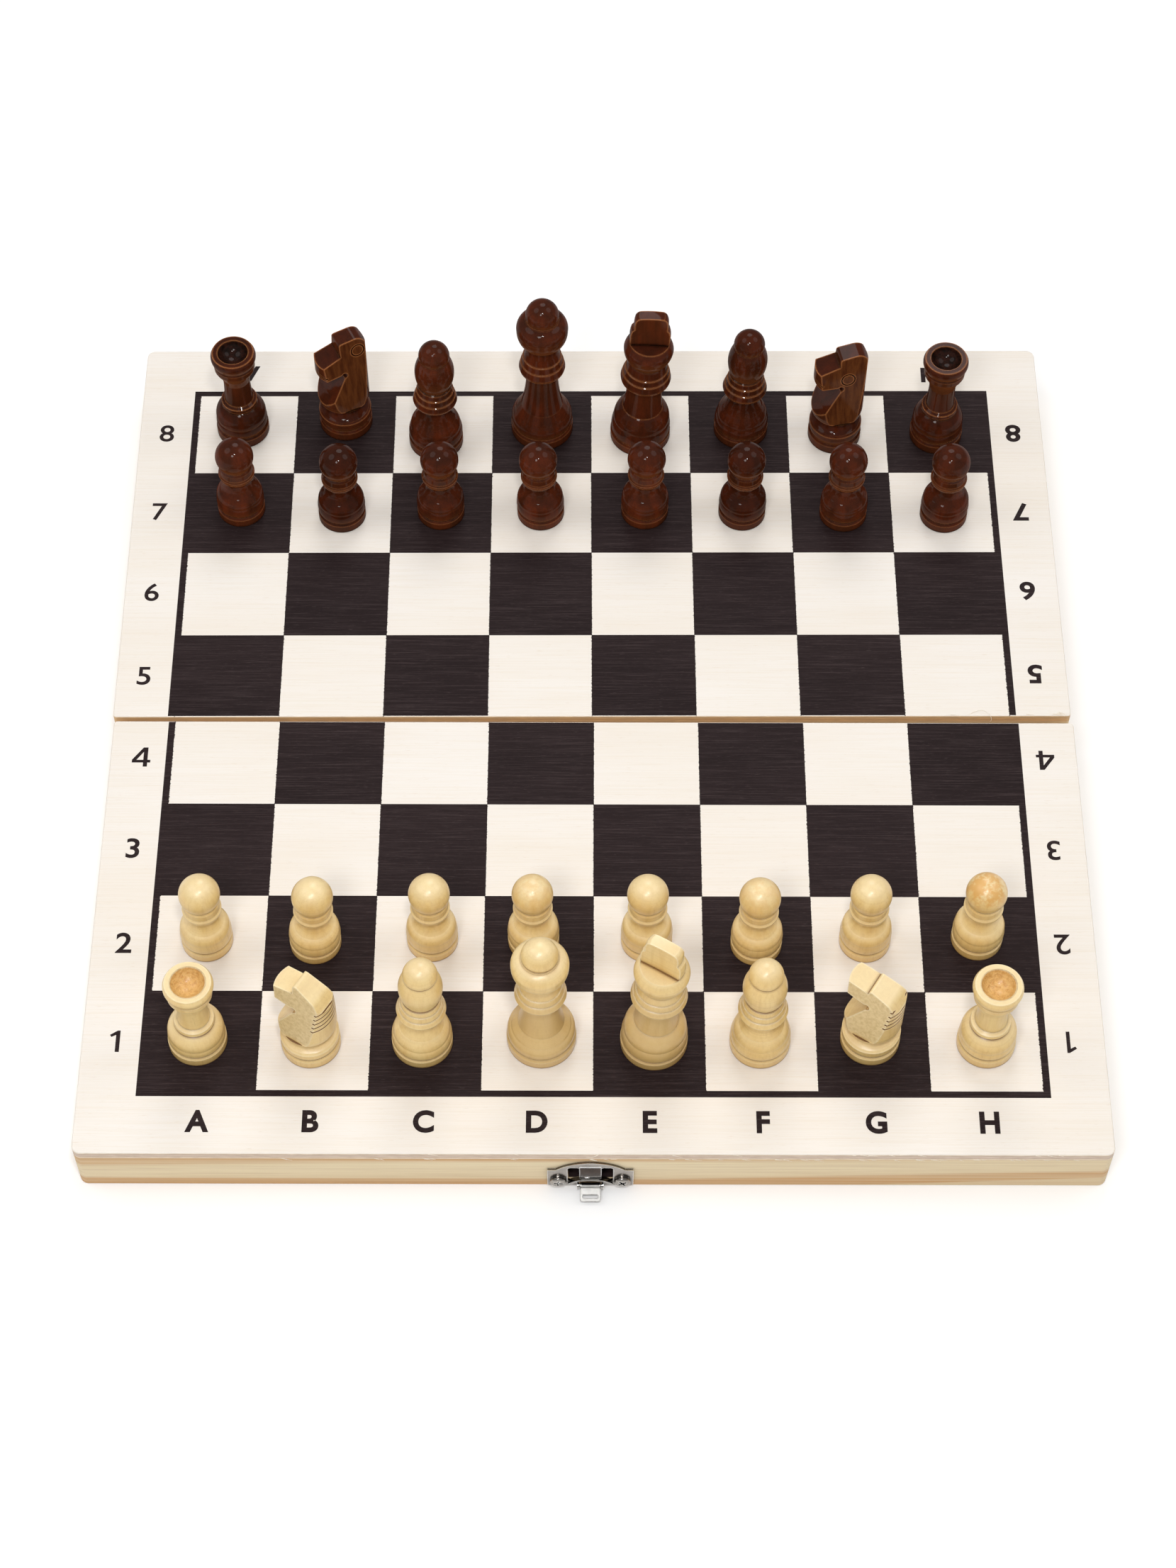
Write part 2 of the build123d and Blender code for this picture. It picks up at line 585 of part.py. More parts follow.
def knight_side(growth, heights):
    """Side view of a knight's head and chest, muzzle towards +X, as a face in the XZ plane."""
    reach = KNIGHT_RADIUS + CUT_PAST
    nape, crown, brow, bridge, muzzle, lip = heights
    points = [
        (-reach, KNIGHT_DISC), (-reach, nape), (CROWN_U, crown), (BROW_U, brow), (BROW_U, bridge),
        (reach, muzzle), (reach, lip), (THROAT_U, THROAT_Z + THROAT_RADIUS / 2),
        (THROAT_U, THROAT_Z - THROAT_RADIUS), (CHEST_U, CHEST_Z), (reach, FACET_START), (reach, KNIGHT_DISC),
    ]
    outline = Polyline(*[(u, z * growth) for u, z in points], close=True)
    face = make_face(outline)
    for u, z, radius in ((CROWN_U, crown, CROWN_ROUND), (BROW_U, brow, BROW_ROUND)):
        corner = face.vertices().sort_by_distance((u, z * growth))[0]
        face = fillet(corner, radius)
    return face


def knight(colour, file_letter, growth):
    """A knight cut from a turned blank: side view, two leaning facets, throat and carving."""
    turn, heights = KNIGHT_CUTS[colour, file_letter]
    blank = turned(KNIGHT_BLANK, KNIGHT_TOP, growth)
    reach = 2 * KNIGHT_RADIUS
    profile = extrude(Plane.XZ * knight_side(growth, heights), reach, both=True)
    lower = block(-reach, reach, -reach, reach, 0, KNIGHT_DISC * growth)
    body = blank & (profile + lower)
    start = FACET_START * growth
    top = KNIGHT_TOP * growth
    wedge = Polyline((FACET_FOOT, start), (FACET_HEAD, top), (FACET_HEAD, top + reach),
                     (reach, top + reach), (reach, start), close=True)
    wedge = extrude(Plane.YZ * make_face(wedge), reach, both=True)
    body -= wedge + wedge.mirror(Plane.XZ)
    throat = Plane.XZ * Pos(THROAT_U, THROAT_Z * growth) * Circle(THROAT_RADIUS)
    body -= extrude(throat, reach, both=True)
    if colour == "light":
        body -= mane_cuts(growth)
    else:
        body -= mouth_cut((heights[-1] + MOUTH_RISE) * growth)
        body -= eyes(EYES[file_letter], growth)
    return Rot(0, 0, turn) * body


def blank_groove(width, depth):
    """A level ring that cuts a groove into the knights' blank."""
    return Cylinder(KNIGHT_RADIUS + CUT_PAST, width) - Cylinder(KNIGHT_RADIUS - depth, width)


def mane_cuts(growth):
    """Level grooves round the back of the neck."""
    reach = KNIGHT_RADIUS + CUT_PAST
    room = block(-reach, -MANE_START, -reach, reach, -MANE_WIDTH, MANE_WIDTH)
    back = blank_groove(MANE_WIDTH, MANE_DEPTH) & room
    cuts = [Pos(0, 0, (MANE_FIRST + number * MANE_PITCH) * growth) * back for number in range(MANE_CUTS)]
    return Compound(cuts)


def mouth_cut(height):
    """A level groove across the end of the muzzle."""
    reach = KNIGHT_RADIUS + CUT_PAST
    room = block(0, reach, -reach, reach, -MOUTH_WIDTH, MOUTH_WIDTH)
    return Pos(0, 0, height) * (blank_groove(MOUTH_WIDTH, MOUTH_DEPTH) & room)


def eyes(place, growth):
    """Ring grooves carved on both facets for eyes."""
    u, z = place
    slope = (FACET_FOOT - FACET_HEAD) / (KNIGHT_TOP - FACET_START)
    out = FACET_FOOT - slope * (z - FACET_START)
    ring = Circle(EYE_RADIUS) - Circle(EYE_RADIUS - EYE_LINE)
    rings = []
    for side in (-1, 1):
        facet = Plane(origin=(u, side * out, z * growth), x_dir=(1, 0, 0), z_dir=(0, side, slope / growth))
        rings.append(extrude(facet * ring, EYE_DEPTH, both=True))
    return Compound(rings)


def lean(man, angle, groove):
    """A man whose stem leans to the right above its foot's groove, seated a little deeper there."""
    size = man.bounding_box().size
    upper = Pos(0, 0, groove + size.Z / 2) * Box(2 * size.X, 2 * size.Y, size.Z)
    seat = size.X / 2 * sin(radians(abs(angle)))
    stem = Pos(0, 0, groove - seat) * Rot(0, angle, 0) * Pos(0, 0, -groove) * (man & upper)
    return (man - upper) + stem


# Each man's file and kind, how far it stands off its square's centre to the right and to the back,
# and its stem's lean to the right in degrees
LIGHT_MEN = [
    ("a", "rook", -1.4, -0.1, 1.0), ("b", "knight", -0.9, -0.7, 0), ("c", "bishop", -1.0, -0.3, 1.5),
    ("d", "queen", 1.1, 0.9, 0), ("e", "king", 1.3, 0.0, 2.3), ("f", "bishop", -0.3, -0.3, 0),
    ("g", "knight", -0.7, 0.6, 0), ("h", "rook", 0.5, -0.4, 0),
]
LIGHT_PAWNS = [
    ("a", "pawn", -0.9, 0.9, 0.5), ("b", "pawn", -1.2, 0.2, 2.0), ("c", "pawn", 0.9, 1.1, 0),
    ("d", "pawn", -1.5, 1.0, 0), ("e", "pawn", -0.5, 1.0, 0), ("f", "pawn", -0.5, 0.0, 0),
    ("g", "pawn", -0.7, 1.1, 0), ("h", "pawn", 0.1, 1.9, 0.5),
]
DARK_MEN = [
    ("a", "rook", -2.2, 2.7, 0), ("b", "knight", -0.8, 5.9, 0), ("c", "bishop", -3.2, -1.9, 1.3),
    ("d", "queen", -0.9, 3.6, 0.7), ("e", "king", -1.0, 1.0, 3.1), ("f", "bishop", -0.3, 3.0, 1.7),
    ("g", "knight", -1.9, 1.0, 0), ("h", "rook", -0.9, 0.9, 0),
]
DARK_PAWNS = [
    ("a", "pawn", -0.7, 1.8, 0), ("b", "pawn", -0.4, -0.4, 0.9), ("c", "pawn", -0.9, 0.7, 1.1),
    ("d", "pawn", -1.0, 0.6, -1.4), ("e", "pawn", 0.2, 1.1, 0.6), ("f", "pawn", -0.7, 0.7, 1.1),
    ("g", "pawn", -0.4, 0.3, 0), ("h", "pawn", -0.3, 0.0, 0),
]


def carve(kind, colour, file_letter, growth):
    """One man of a kind and colour, standing on z = 0 at the origin."""
    if kind == "king":
        return king(growth, BLADE_TURN[colour])
    if kind == "knight":
        return knight(colour, file_letter, growth)
    outline, crown = TURNED_KINDS[kind]
    return turned(outline, crown, growth)


def stand_men(colour, row, men):
    """A row of men; row 0 is the edge row of their half and row 1 the one before it."""
    for file_letter, kind, right, back, angle in men:
        growth = DARK_GROWTH[kind] if colour == "dark" else 1.0
        man = carve(kind, colour, file_letter, growth)
        if angle:
            man = lean(man, angle, FOOT_GROOVE * growth)
        column = "abcdefgh".index(file_letter)
        x = GRID_X + (column + 0.5) * SQUARE + right
        edge = EDGE_ROW_Y + row * SQUARE
        y = (edge if colour == "light" else -edge) + back
        pair = kind in ("queen", "king")
        name = f"{colour}_{kind}" if pair else f"{colour}_{kind}_{file_letter}"
        nodes[name] = Pos(x, y, PLAY_Z) * man


front_board()
back_board()
nodes["hasp"] = hasp()
stand_men("light", 0, LIGHT_MEN)
stand_men("light", 1, LIGHT_PAWNS)
stand_men("dark", 0, DARK_MEN)
stand_men("dark", 1, DARK_PAWNS)

os.makedirs("parts", exist_ok=True)
for name, shape in nodes.items():
    export_step(shape, f"parts/{name}.step")
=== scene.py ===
import math
import random

import bmesh
import bpy
from mathutils import Matrix, Vector


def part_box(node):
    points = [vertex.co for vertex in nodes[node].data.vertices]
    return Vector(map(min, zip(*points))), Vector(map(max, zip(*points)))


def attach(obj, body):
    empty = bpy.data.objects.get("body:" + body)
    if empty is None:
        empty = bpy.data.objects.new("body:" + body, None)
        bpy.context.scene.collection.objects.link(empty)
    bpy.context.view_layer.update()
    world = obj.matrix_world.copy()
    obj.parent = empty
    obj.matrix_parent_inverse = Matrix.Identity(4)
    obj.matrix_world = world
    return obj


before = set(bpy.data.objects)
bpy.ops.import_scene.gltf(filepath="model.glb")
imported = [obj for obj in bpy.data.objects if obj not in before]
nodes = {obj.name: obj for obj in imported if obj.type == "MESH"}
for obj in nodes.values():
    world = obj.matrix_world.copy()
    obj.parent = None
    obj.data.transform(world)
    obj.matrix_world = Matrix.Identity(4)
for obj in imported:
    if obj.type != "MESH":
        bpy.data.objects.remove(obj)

# A folding chess board with its men. Metres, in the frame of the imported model:
# +X along the fold, +Y from the light men to the dark men, +Z up.
MM = 0.001
random.seed(8)

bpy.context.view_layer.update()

# Places read from the frame
panel_low, panel_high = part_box("front_panel")
print_low, print_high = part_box("front_dark_print")
rail_low, rail_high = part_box("front_latch_rail")
hasp_low, hasp_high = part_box("hasp")
PLAY_Z = panel_high.z
PLY_Z = rail_high.z
ROWS = 8
ROWS_PER_HALF = ROWS // 2
FRAME_LINE = 2.0 * MM
SQUARE = (print_high.x - print_low.x - 2 * FRAME_LINE) / ROWS
GRID_X = print_low.x + FRAME_LINE
GRID_HALF = ROWS / 2 * SQUARE
HASP_X = (hasp_low.x + hasp_high.x) / 2
# The back half sits a little askew: how far it is turned and moved along the fold
BACK_TURN = math.radians(0.22)
BACK_SHIFT = -0.5 * MM

# Camera, as solved from the printed grid. Focal length and picture height are in pixels,
# the sensor is in millimetres and the turns are in degrees
PHOTO_HEIGHT = 2212
FOCAL_PIXELS = 4357.0
SENSOR = 36.0
CAMERA_PLACE = (-1.7 * MM, -518.1 * MM, PLAY_Z + 777.7 * MM)
CAMERA_TURN = (32.468, -0.066, 0.103)

# The floor glows a little near the board and turns fully white between the near and the far distance
FLOOR_SIZE = 6.0
FLOOR_WHITE = 0.90
FLOOR_GLOW = 0.16
FLOOR_NEAR = 0.45
FLOOR_FAR = 1.6
WORLD_LIGHT = 0.36
# Name, place, width and power of each lamp
LAMPS = (
    ("lamp_front", (-0.20, -0.65, 0.95), 0.25, 2.7),
    ("lamp_spark", (0.04, -0.45, 1.00), 0.09, 2.6),
    ("lamp_left", (-0.75, 0.05, 1.00), 0.7, 2.35),
    ("lamp_right", (0.80, 0.15, 1.00), 0.7, 2.15),
    ("lamp_back", (0.05, 0.75, 1.05), 0.6, 3.6),
)

# Letters along the front and back borders
LETTER_HEIGHT = 6.6 * MM
LETTER_STRETCH = 0.95
LETTER_BOLD = 0.34 * MM
LETTER_Y = -135.0 * MM
BACK_LETTER_SHIFT = -1.5 * MM
BACK_LETTER_HEIGHT = 5.8 * MM
# Digits up the left and right sides: their rows, then a value each for the front and the back half
DIGIT_HEIGHT = 6.8 * MM
DIGIT_STRETCH = 1.08
LEFT_ROWS = (-110.0, -78.0, -46.0, -14.0, 15.5, 47.0, 78.4, 110.0)
RIGHT_ROWS = (-109.7, -77.9, -46.1, -14.5, 16.9, 48.2, 79.1, 110.8)
LEFT_X = (-135.7 * MM, -137.3 * MM)
RIGHT_X = (135.5 * MM, 134.8 * MM)
LEFT_BOLD = (0.15 * MM, 0.10 * MM)
RIGHT_BOLD = (0.10 * MM, 0.24 * MM)
# Printed glyphs lie on the face. The font's capitals are this share of its size
GLYPH_LIFT = 0.03 * MM
GLYPH_DEPTH = 0.01 * MM
CAPITAL_SHARE = 0.73

# Tone of each dark man: how bright its stain is
DARK_TONES = {
    "dark_rook_a": 0.80, "dark_bishop_c": 1.20, "dark_queen": 1.10, "dark_king": 1.10,
    "dark_bishop_f": 0.90, "dark_rook_h": 0.75, "dark_pawn_a": 1.15, "dark_pawn_b": 0.70,
    "dark_pawn_d": 1.15, "dark_pawn_e": 1.10, "dark_pawn_f": 0.70, "dark_pawn_g": 1.10,
}
# Which way each knight looks, in degrees
MUZZLE_TURNS = {
    "light_knight_b": 148.0, "light_knight_g": 148.0, "dark_knight_b": 207.0, "dark_knight_g": 192.0,
}
# How strongly some pawns' heads are blotched
BLOTCHED = {"light_pawn_h": 0.8, "light_pawn_d": 0.22, "light_pawn_f": 0.22}

# Where the looks change along a piece: first and last place of each change
FOLD_WARMTH = (4.0 * MM, 6.0 * MM)
MORTISE_HALF = 7.0 * MM
MORTISE_DEPTH = (0.25 * MM, 0.5 * MM)
STEM_SHADE_HEIGHT = (22 * MM, 40 * MM)
CROWN_HEIGHT = (24 * MM, 30 * MM)
BOWL_RIM = (4.7 * MM, 5.2 * MM)
BOWL_DEPTH = (4.6 * MM, 4.2 * MM)
FLAT_FOOT = (12.2 * MM, 13.0 * MM)
BARREL_HALF = 2.6 * MM
BARREL_DEPTH = (1.5 * MM, 1.2 * MM)
# Late wood on the rail with the latch: heights at one place along it, and slopes from there
BAND_START = -140 * MM
BAND_HEIGHT = 12.6 * MM
BAND_SLOPE = 0.018
FOOT_START = 20 * MM
FOOT_HEIGHT = 5.0 * MM
FOOT_SLOPE = 0.045
WEDGE_START = 60 * MM
WEDGE_SLOPE = 0.075
# Rings on the other rails
RING_PITCH = 4.6 * MM
RING_WAVE = 9 * MM
# How far ink creeps along the grain, and how much the layers of the plywood waver
INK_CREEP = 1.2 * MM
LAYER_WAVER = 0.35 * MM
# Torn fibres: where they stand along the front edge, in millimetres, and how thick they are
SPLINTER_PLACES = (-88, -62, -47, -21, 2, 24, 38, 52, 59, 74, 83, 91, 99, 108, 118, 126, 133)
SPLINTER_THICK = 0.26 * MM
CURL_THICK = 0.22 * MM
TORN_THICK = 0.36 * MM

# Colours, in linear red, green and blue
# Plywood
VENEER = (0.884, 0.828, 0.762)
VENEER_BAND = (0.855, 0.785, 0.700)
VENEER_CLOUD = (0.905, 0.868, 0.830)
VENEER_GRAIN = (0.800, 0.700, 0.565)
VENEER_DASH = (0.700, 0.575, 0.430)
CREPT_INK = (0.040, 0.024, 0.024)
PLY_FIBRE = (0.42, 0.29, 0.20)
TORN_FIBRE = (0.93, 0.87, 0.78)
TORN_FIBRE_SHADE = (0.82, 0.72, 0.58)
# The plywood's edge from its top to its foot, as it shows outside and along the fold
PLY_LAYERS = (
    (0.00, (0.92, 0.82, 0.68)), (0.12, (0.88, 0.75, 0.60)), (0.20, (0.70, 0.53, 0.40)),
    (0.30, (0.76, 0.62, 0.51)), (0.62, (0.80, 0.66, 0.55)), (0.72, (0.68, 0.50, 0.37)),
    (0.84, (0.92, 0.78, 0.62)), (1.00, (0.94, 0.82, 0.66)),
)
FOLD_LAYERS = (
    (0.00, (0.90, 0.76, 0.55)), (0.12, (0.84, 0.62, 0.36)), (0.30, (0.70, 0.46, 0.23)),
    (0.42, (0.86, 0.60, 0.32)), (0.60, (0.68, 0.42, 0.20)), (0.72, (0.90, 0.64, 0.35)),
    (1.00, (0.76, 0.50, 0.26)),
)
# Ink
INK = (0.0150, 0.0080, 0.0084)
INK_BAND = (0.0225, 0.0128, 0.0132)
INK_GRAIN = (0.056, 0.038, 0.038)
INK_DASH = (0.085, 0.062, 0.060)
INK_PIT = (0.010, 0.0055, 0.006)
# Pine. The mortise colour is painted shade in the recess behind the latch
PINE = (0.88, 0.745, 0.505)
PINE_BROAD = (0.81, 0.655, 0.420)
PINE_LATE = (0.64, 0.355, 0.150)
PINE_FIBRE = (0.56, 0.38, 0.22)
MORTISE_SHADE = (0.020, 0.010, 0.010)
# Light men. The top colour is painted light, and the rim colour is rubbed wear and painted edge highlight;
# the hollow, stem, deep bowl, groove and crease colours are painted shade
LIGHT_WOOD = (0.880, 0.640, 0.265)
LIGHT_BAND = (0.820, 0.555, 0.200)
LIGHT_GRAIN = (0.680, 0.420, 0.135)
LIGHT_PORE = (0.520, 0.300, 0.085)
LIGHT_LATHE = (0.600, 0.365, 0.115)
LIGHT_TOP_PAINTED_LIGHT = (0.940, 0.820, 0.560)
LIGHT_HOLLOW_SHADE = (0.640, 0.385, 0.105)
LIGHT_STEM_SHADE = (0.560, 0.350, 0.120)
LIGHT_BOWL = (0.84, 0.51, 0.17)
LIGHT_BOWL_TORN = (0.62, 0.30, 0.065)
LIGHT_BOWL_SHADE = (0.50, 0.21, 0.040)
LIGHT_SAWN = (0.78, 0.590, 0.290)
LIGHT_SAWN_ROUGH = (0.64, 0.455, 0.195)
LIGHT_BLOTCH = (0.74, 0.375, 0.080)
LIGHT_GROOVE_SHADE = (0.250, 0.110, 0.019)
LIGHT_RIM_WEAR_AND_HIGHLIGHT = (0.97, 0.86, 0.60)
LIGHT_CREASE_SHADE = (0.150, 0.055, 0.008)
# Dark men. The under colour is painted bounce light, and the rim colour is rubbed wear and painted edge
# highlight; the top, groove and crease colours are painted shade
DARK_RED = (0.098, 0.0185, 0.0060)
DARK_BROWN = (0.050, 0.0130, 0.0055)
DARK_GRAIN = (0.022, 0.0062, 0.0034)
DARK_BOUNCE_LIGHT = (0.230, 0.072, 0.022)
DARK_TOP_SHADE = (0.030, 0.0085, 0.0050)
DARK_BOWL = (0.012, 0.0060, 0.0045)
DARK_BOWL_TORN = (0.034, 0.011, 0.007)
DARK_SAWN = (0.135, 0.042, 0.012)
DARK_SAWN_GRAIN = (0.072, 0.019, 0.0065)
DARK_GROOVE_SHADE = (0.0035, 0.0014, 0.0010)
DARK_RIM_WEAR_AND_HIGHLIGHT = (0.470, 0.175, 0.060)
DARK_CREASE_SHADE = (0.0025, 0.0010, 0.0008)
# Metal. The nickel rim colour is a painted edge highlight and the strap colour a painted dark reflection;
# the tongue rim, tongue barrel and corner colours are painted shade
NICKEL = (0.38, 0.35, 0.32)
NICKEL_EDGE_HIGHLIGHT = (0.93, 0.92, 0.90)
STRAP_DARK_REFLECTION = (0.085, 0.068, 0.060)
TONGUE = (0.80, 0.79, 0.76)
TONGUE_EDGE_SHADE = (0.10, 0.085, 0.080)
TONGUE_BARREL_SHADE = (0.020, 0.018, 0.018)
STEEL = (0.62, 0.61, 0.58)
METAL_CREVICE_SHADE = (0.035, 0.032, 0.030)


class Tree:
    """Short calls for building one material's nodes."""

    def __init__(self, name):
        self.material = bpy.data.materials.new(name)
        self.material.use_nodes = True
        self.nodes = self.material.node_tree.nodes
        self.links = self.material.node_tree.links
        self.shader = self.nodes["Principled BSDF"]
        self.output = self.nodes["Material Output"]
        coordinates = self.add("ShaderNodeTexCoord")
        self.place = coordinates.outputs["Object"]
        self.facing = coordinates.outputs["Normal"]

    def add(self, kind, inputs=None, **settings):
        """A new node with its inputs, each a value or a link, and its settings."""
        node = self.nodes.new(kind)
        for key, value in settings.items():
            setattr(node, key, value)
        for key, value in (inputs or {}).items():
            self.put(node.inputs[key], value)
        return node

    def put(self, socket, value):
        """Links another node's output to a socket, or sets the socket's value."""
        if isinstance(value, bpy.types.NodeSocket):
            self.links.new(value, socket)
        else:
            socket.default_value = value

    def math(self, operation, *values):
        """The result of a sum on values or links."""
        node = self.add("ShaderNodeMath", operation=operation)
        for socket, value in zip(node.inputs, values):
            self.put(socket, value)
        return node.outputs[0]

    def times(self, first, *others):
        """The product of some values."""
        for value in others:
            first = self.math("MULTIPLY", first, value)
        return first

    def rest(self, value):
        """What a value leaves of 1."""
        return self.math("SUBTRACT", 1.0, value)

    def axis(self, name, vector=None):
        """One coordinate of the place on the piece, or of another vector."""
        return self.add("ShaderNodeSeparateXYZ", {0: vector or self.place}).outputs[name]

    def off(self, name, middle=0.0):
        """Distance along one axis from a place on it."""
        return self.math("ABSOLUTE", self.math("SUBTRACT", self.axis(name), middle))

    def step(self, value, low, high):
        """0 below low, 1 above high, smooth between."""
        node = self.add("ShaderNodeMapRange", {"Value": value, "From Min": low, "From Max": high},
                        interpolation_type="SMOOTHSTEP")
        return node.outputs["Result"]

    def noise(self, cells, detail, roughness, shift=(0, 0, 0), distortion=0.0):
        """A noise field over the piece, with so many cells per metre along each axis."""
        moved = self.add("ShaderNodeMapping", {"Vector": self.place, "Location": shift, "Scale": cells})
        field = self.add(
            "ShaderNodeTexNoise",
            {"Vector": moved.outputs[0], "Scale": 1.0, "Detail": detail, "Roughness": roughness,
             "Distortion": distortion},
        )
        return field.outputs["Fac"]

    def ramp(self, value, *stops):
        """A colour ramp of (position, colour or grey) stops."""
        node = self.add("ShaderNodeValToRGB", {"Fac": value})
        elements = node.color_ramp.elements
        while len(elements) < len(stops):
            elements.new(0.5)
        for element, (position, colour) in zip(elements, stops):
            element.position = position
            grey = isinstance(colour, (int, float))
            element.color = (colour, colour, colour, 1) if grey else (*colour, 1)
        return node.outputs["Color"]

    def mix(self, factor, first, second):
        """A blend of two colours or fields."""
        node = self.add("ShaderNodeMix", data_type="RGBA")
        self.put(node.inputs[0], factor)
        for socket, value in ((node.inputs[6], first), (node.inputs[7], second)):
            self.put(socket, value if isinstance(value, bpy.types.NodeSocket) else (*value, 1))
        return node.outputs[2]

    def lay(self, below, colour, field, *stops):
        """A colour laid over another where a ramp of a field says."""
        return self.mix(self.ramp(field, *stops), below, colour)

    def tint(self, below, colour, mask, strength):
        """A colour laid over another through a mask, at some strength."""
        return self.mix(self.times(mask, strength), below, colour)

    def bump(self, height, depth, strength=1.0, normal=None):
        """A surface roughened by a height field, over another bump if one is given."""
        node = self.add("ShaderNodeBump", {"Height": height, "Distance": depth, "Strength": strength})
        if normal is not None:
            self.put(node.inputs["Normal"], normal)
        return node.outputs["Normal"]

    def edges(self, radius, low, high):
        """1 along the piece's edges, outward and inward, and 0 on its faces."""
        bevel = self.add("ShaderNodeBevel", {"Radius": radius}, samples=4)
        true = self.add("ShaderNodeNewGeometry").outputs["Normal"]
        dot = self.add("ShaderNodeVectorMath", {0: bevel.outputs[0], 1: true}, operation="DOT_PRODUCT")
        return self.rest(self.step(dot.outputs["Value"], low, high))

    def crevices(self, distance, low, high):
        """1 in grooves and corners and 0 in the open."""
        node = self.add("ShaderNodeAmbientOcclusion", {"Distance": distance}, samples=6)
        return self.rest(self.step(node.outputs["AO"], low, high))

    def seams(self, radius, reach, low=0.72, high=0.93):
        """Two masks along the edges of a piece: its inward creases, and its outward rims."""
        edges = self.edges(radius, 0.87, 0.995)
        closed = self.crevices(reach, low, high)
        return self.times(edges, closed), self.times(edges, self.rest(closed))

    def upward(self, low, high):
        """1 where the surface faces up and 0 where it doesn't."""
        return self.step(self.axis("Z", self.facing), low, high)

    def radius(self, centre):
        """Distance from an upright axis through a place."""
        foot = (centre.x, centre.y, 0)
        moved = self.add("ShaderNodeVectorMath", {0: self.place, 1: foot}, operation="SUBTRACT")
        flat = self.add("ShaderNodeVectorMath", {0: moved.outputs[0], 1: (1, 1, 0)}, operation="MULTIPLY")
        return self.add("ShaderNodeVectorMath", {0: flat.outputs[0]}, operation="LENGTH").outputs["Value"]

    def facing_along(self, turn):
        """How squarely a surface faces either way along a level direction, 0 to 1."""
        way = (-math.sin(math.radians(turn)), math.cos(math.radians(turn)), 0)
        dot = self.add("ShaderNodeVectorMath", {0: self.facing, 1: way}, operation="DOT_PRODUCT")
        return self.math("ABSOLUTE", dot.outputs["Value"])

    def finish(self, colour, roughness, normal, **sockets):
        """The material, once its shader has all it needs."""
        self.put(self.shader.inputs["Base Color"], colour)
        self.put(self.shader.inputs["Roughness"], roughness)
        self.put(self.shader.inputs["Normal"], normal)
        for key, value in sockets.items():
            self.put(self.shader.inputs[key.replace("_", " ")], value)
        return self.material


def ply_top(tree, seed):
    """Colour and height of the panel's pale face veneer, its grain along X."""
    shift = (seed, seed * 1.7, 0)
    fine = tree.noise((40, 2600, 400), 4, 0.6, shift)
    dashes = tree.noise((330, 3400, 300), 2, 0.5, shift)
    bands = tree.noise((5, 70, 20), 3, 0.5, shift)
    clouds = tree.noise((14, 20, 10), 2, 0.5, shift)
    colour = tree.lay(VENEER, VENEER_BAND, bands, (0.30, 0), (0.75, 1))
    colour = tree.lay(colour, VENEER_CLOUD, clouds, (0.45, 0), (0.80, 0.6))
    colour = tree.lay(colour, VENEER_GRAIN, fine, (0.45, 0), (0.78, 0.5))
    return tree.lay(colour, VENEER_DASH, dashes, (0.64, 0), (0.76, 0.35)), fine


def crept_ink(tree, seed, turn, moved):
    """1 where ink has crept along the grain, over the upright lines of a half's printed grid."""
    ragged = tree.noise((30, 2400, 10), 3, 0.6, (seed, 4, 0))
    leaned = tree.math("ADD", tree.axis("X"), tree.times(tree.axis("Y"), math.sin(turn)))
    along = tree.math("DIVIDE", tree.math("SUBTRACT", leaned, GRID_X + moved), SQUARE)
    off_line = tree.math("ABSOLUTE", tree.math("SUBTRACT", along, tree.math("ROUND", along)))
    reach = tree.times(tree.math("SUBTRACT", ragged, 0.44), INK_CREEP / SQUARE)
    inside = tree.math("LESS_THAN", tree.off("X"), GRID_HALF + FRAME_LINE)
    short = tree.math("LESS_THAN", tree.off("Y"), GRID_HALF - FRAME_LINE / 2)
    return tree.times(tree.math("LESS_THAN", off_line, reach), inside, short)


def ply_edge(tree, seed):
    """Colour and height of the layers in the panel's edge, warmer along the fold."""
    ragged = tree.noise((180, 180, 900), 3, 0.6, (seed, 0, 0))
    waver = tree.times(tree.math("SUBTRACT", ragged, 0.5), LAYER_WAVER)
    depth = tree.math("ADD", tree.math("SUBTRACT", PLAY_Z, tree.axis("Z")), waver)
    share = tree.math("DIVIDE", depth, PLAY_Z - PLY_Z)
    by_fold = tree.rest(tree.step(tree.off("Y"), *FOLD_WARMTH))
    layers = tree.mix(by_fold, tree.ramp(share, *PLY_LAYERS), tree.ramp(share, *FOLD_LAYERS))
    fibres = tree.noise((260, 260, 2400), 4, 0.65, (seed, 3, 0))
    return tree.lay(layers, PLY_FIBRE, fibres, (0.35, 0.45), (0.65, 0)), fibres


def ply_material(name, seed, turn=0.0, moved=0.0):
    """Plywood: pale veneer on top and layered edges, for a half whose print is turned and moved."""
    tree = Tree(name)
    top, fine = ply_top(tree, seed)
    top = tree.mix(crept_ink(tree, seed, turn, moved), top, CREPT_INK)
    edge, fibres = ply_edge(tree, seed)
    level = tree.step(tree.math("ABSOLUTE", tree.axis("Z", tree.facing)), 0.35, 0.8)
    normal = tree.bump(tree.mix(level, fibres, fine), 0.06 * MM, 0.5)
    return tree.finish(tree.mix(level, edge, top), 0.66, normal, Specular_IOR_Level=0.2)


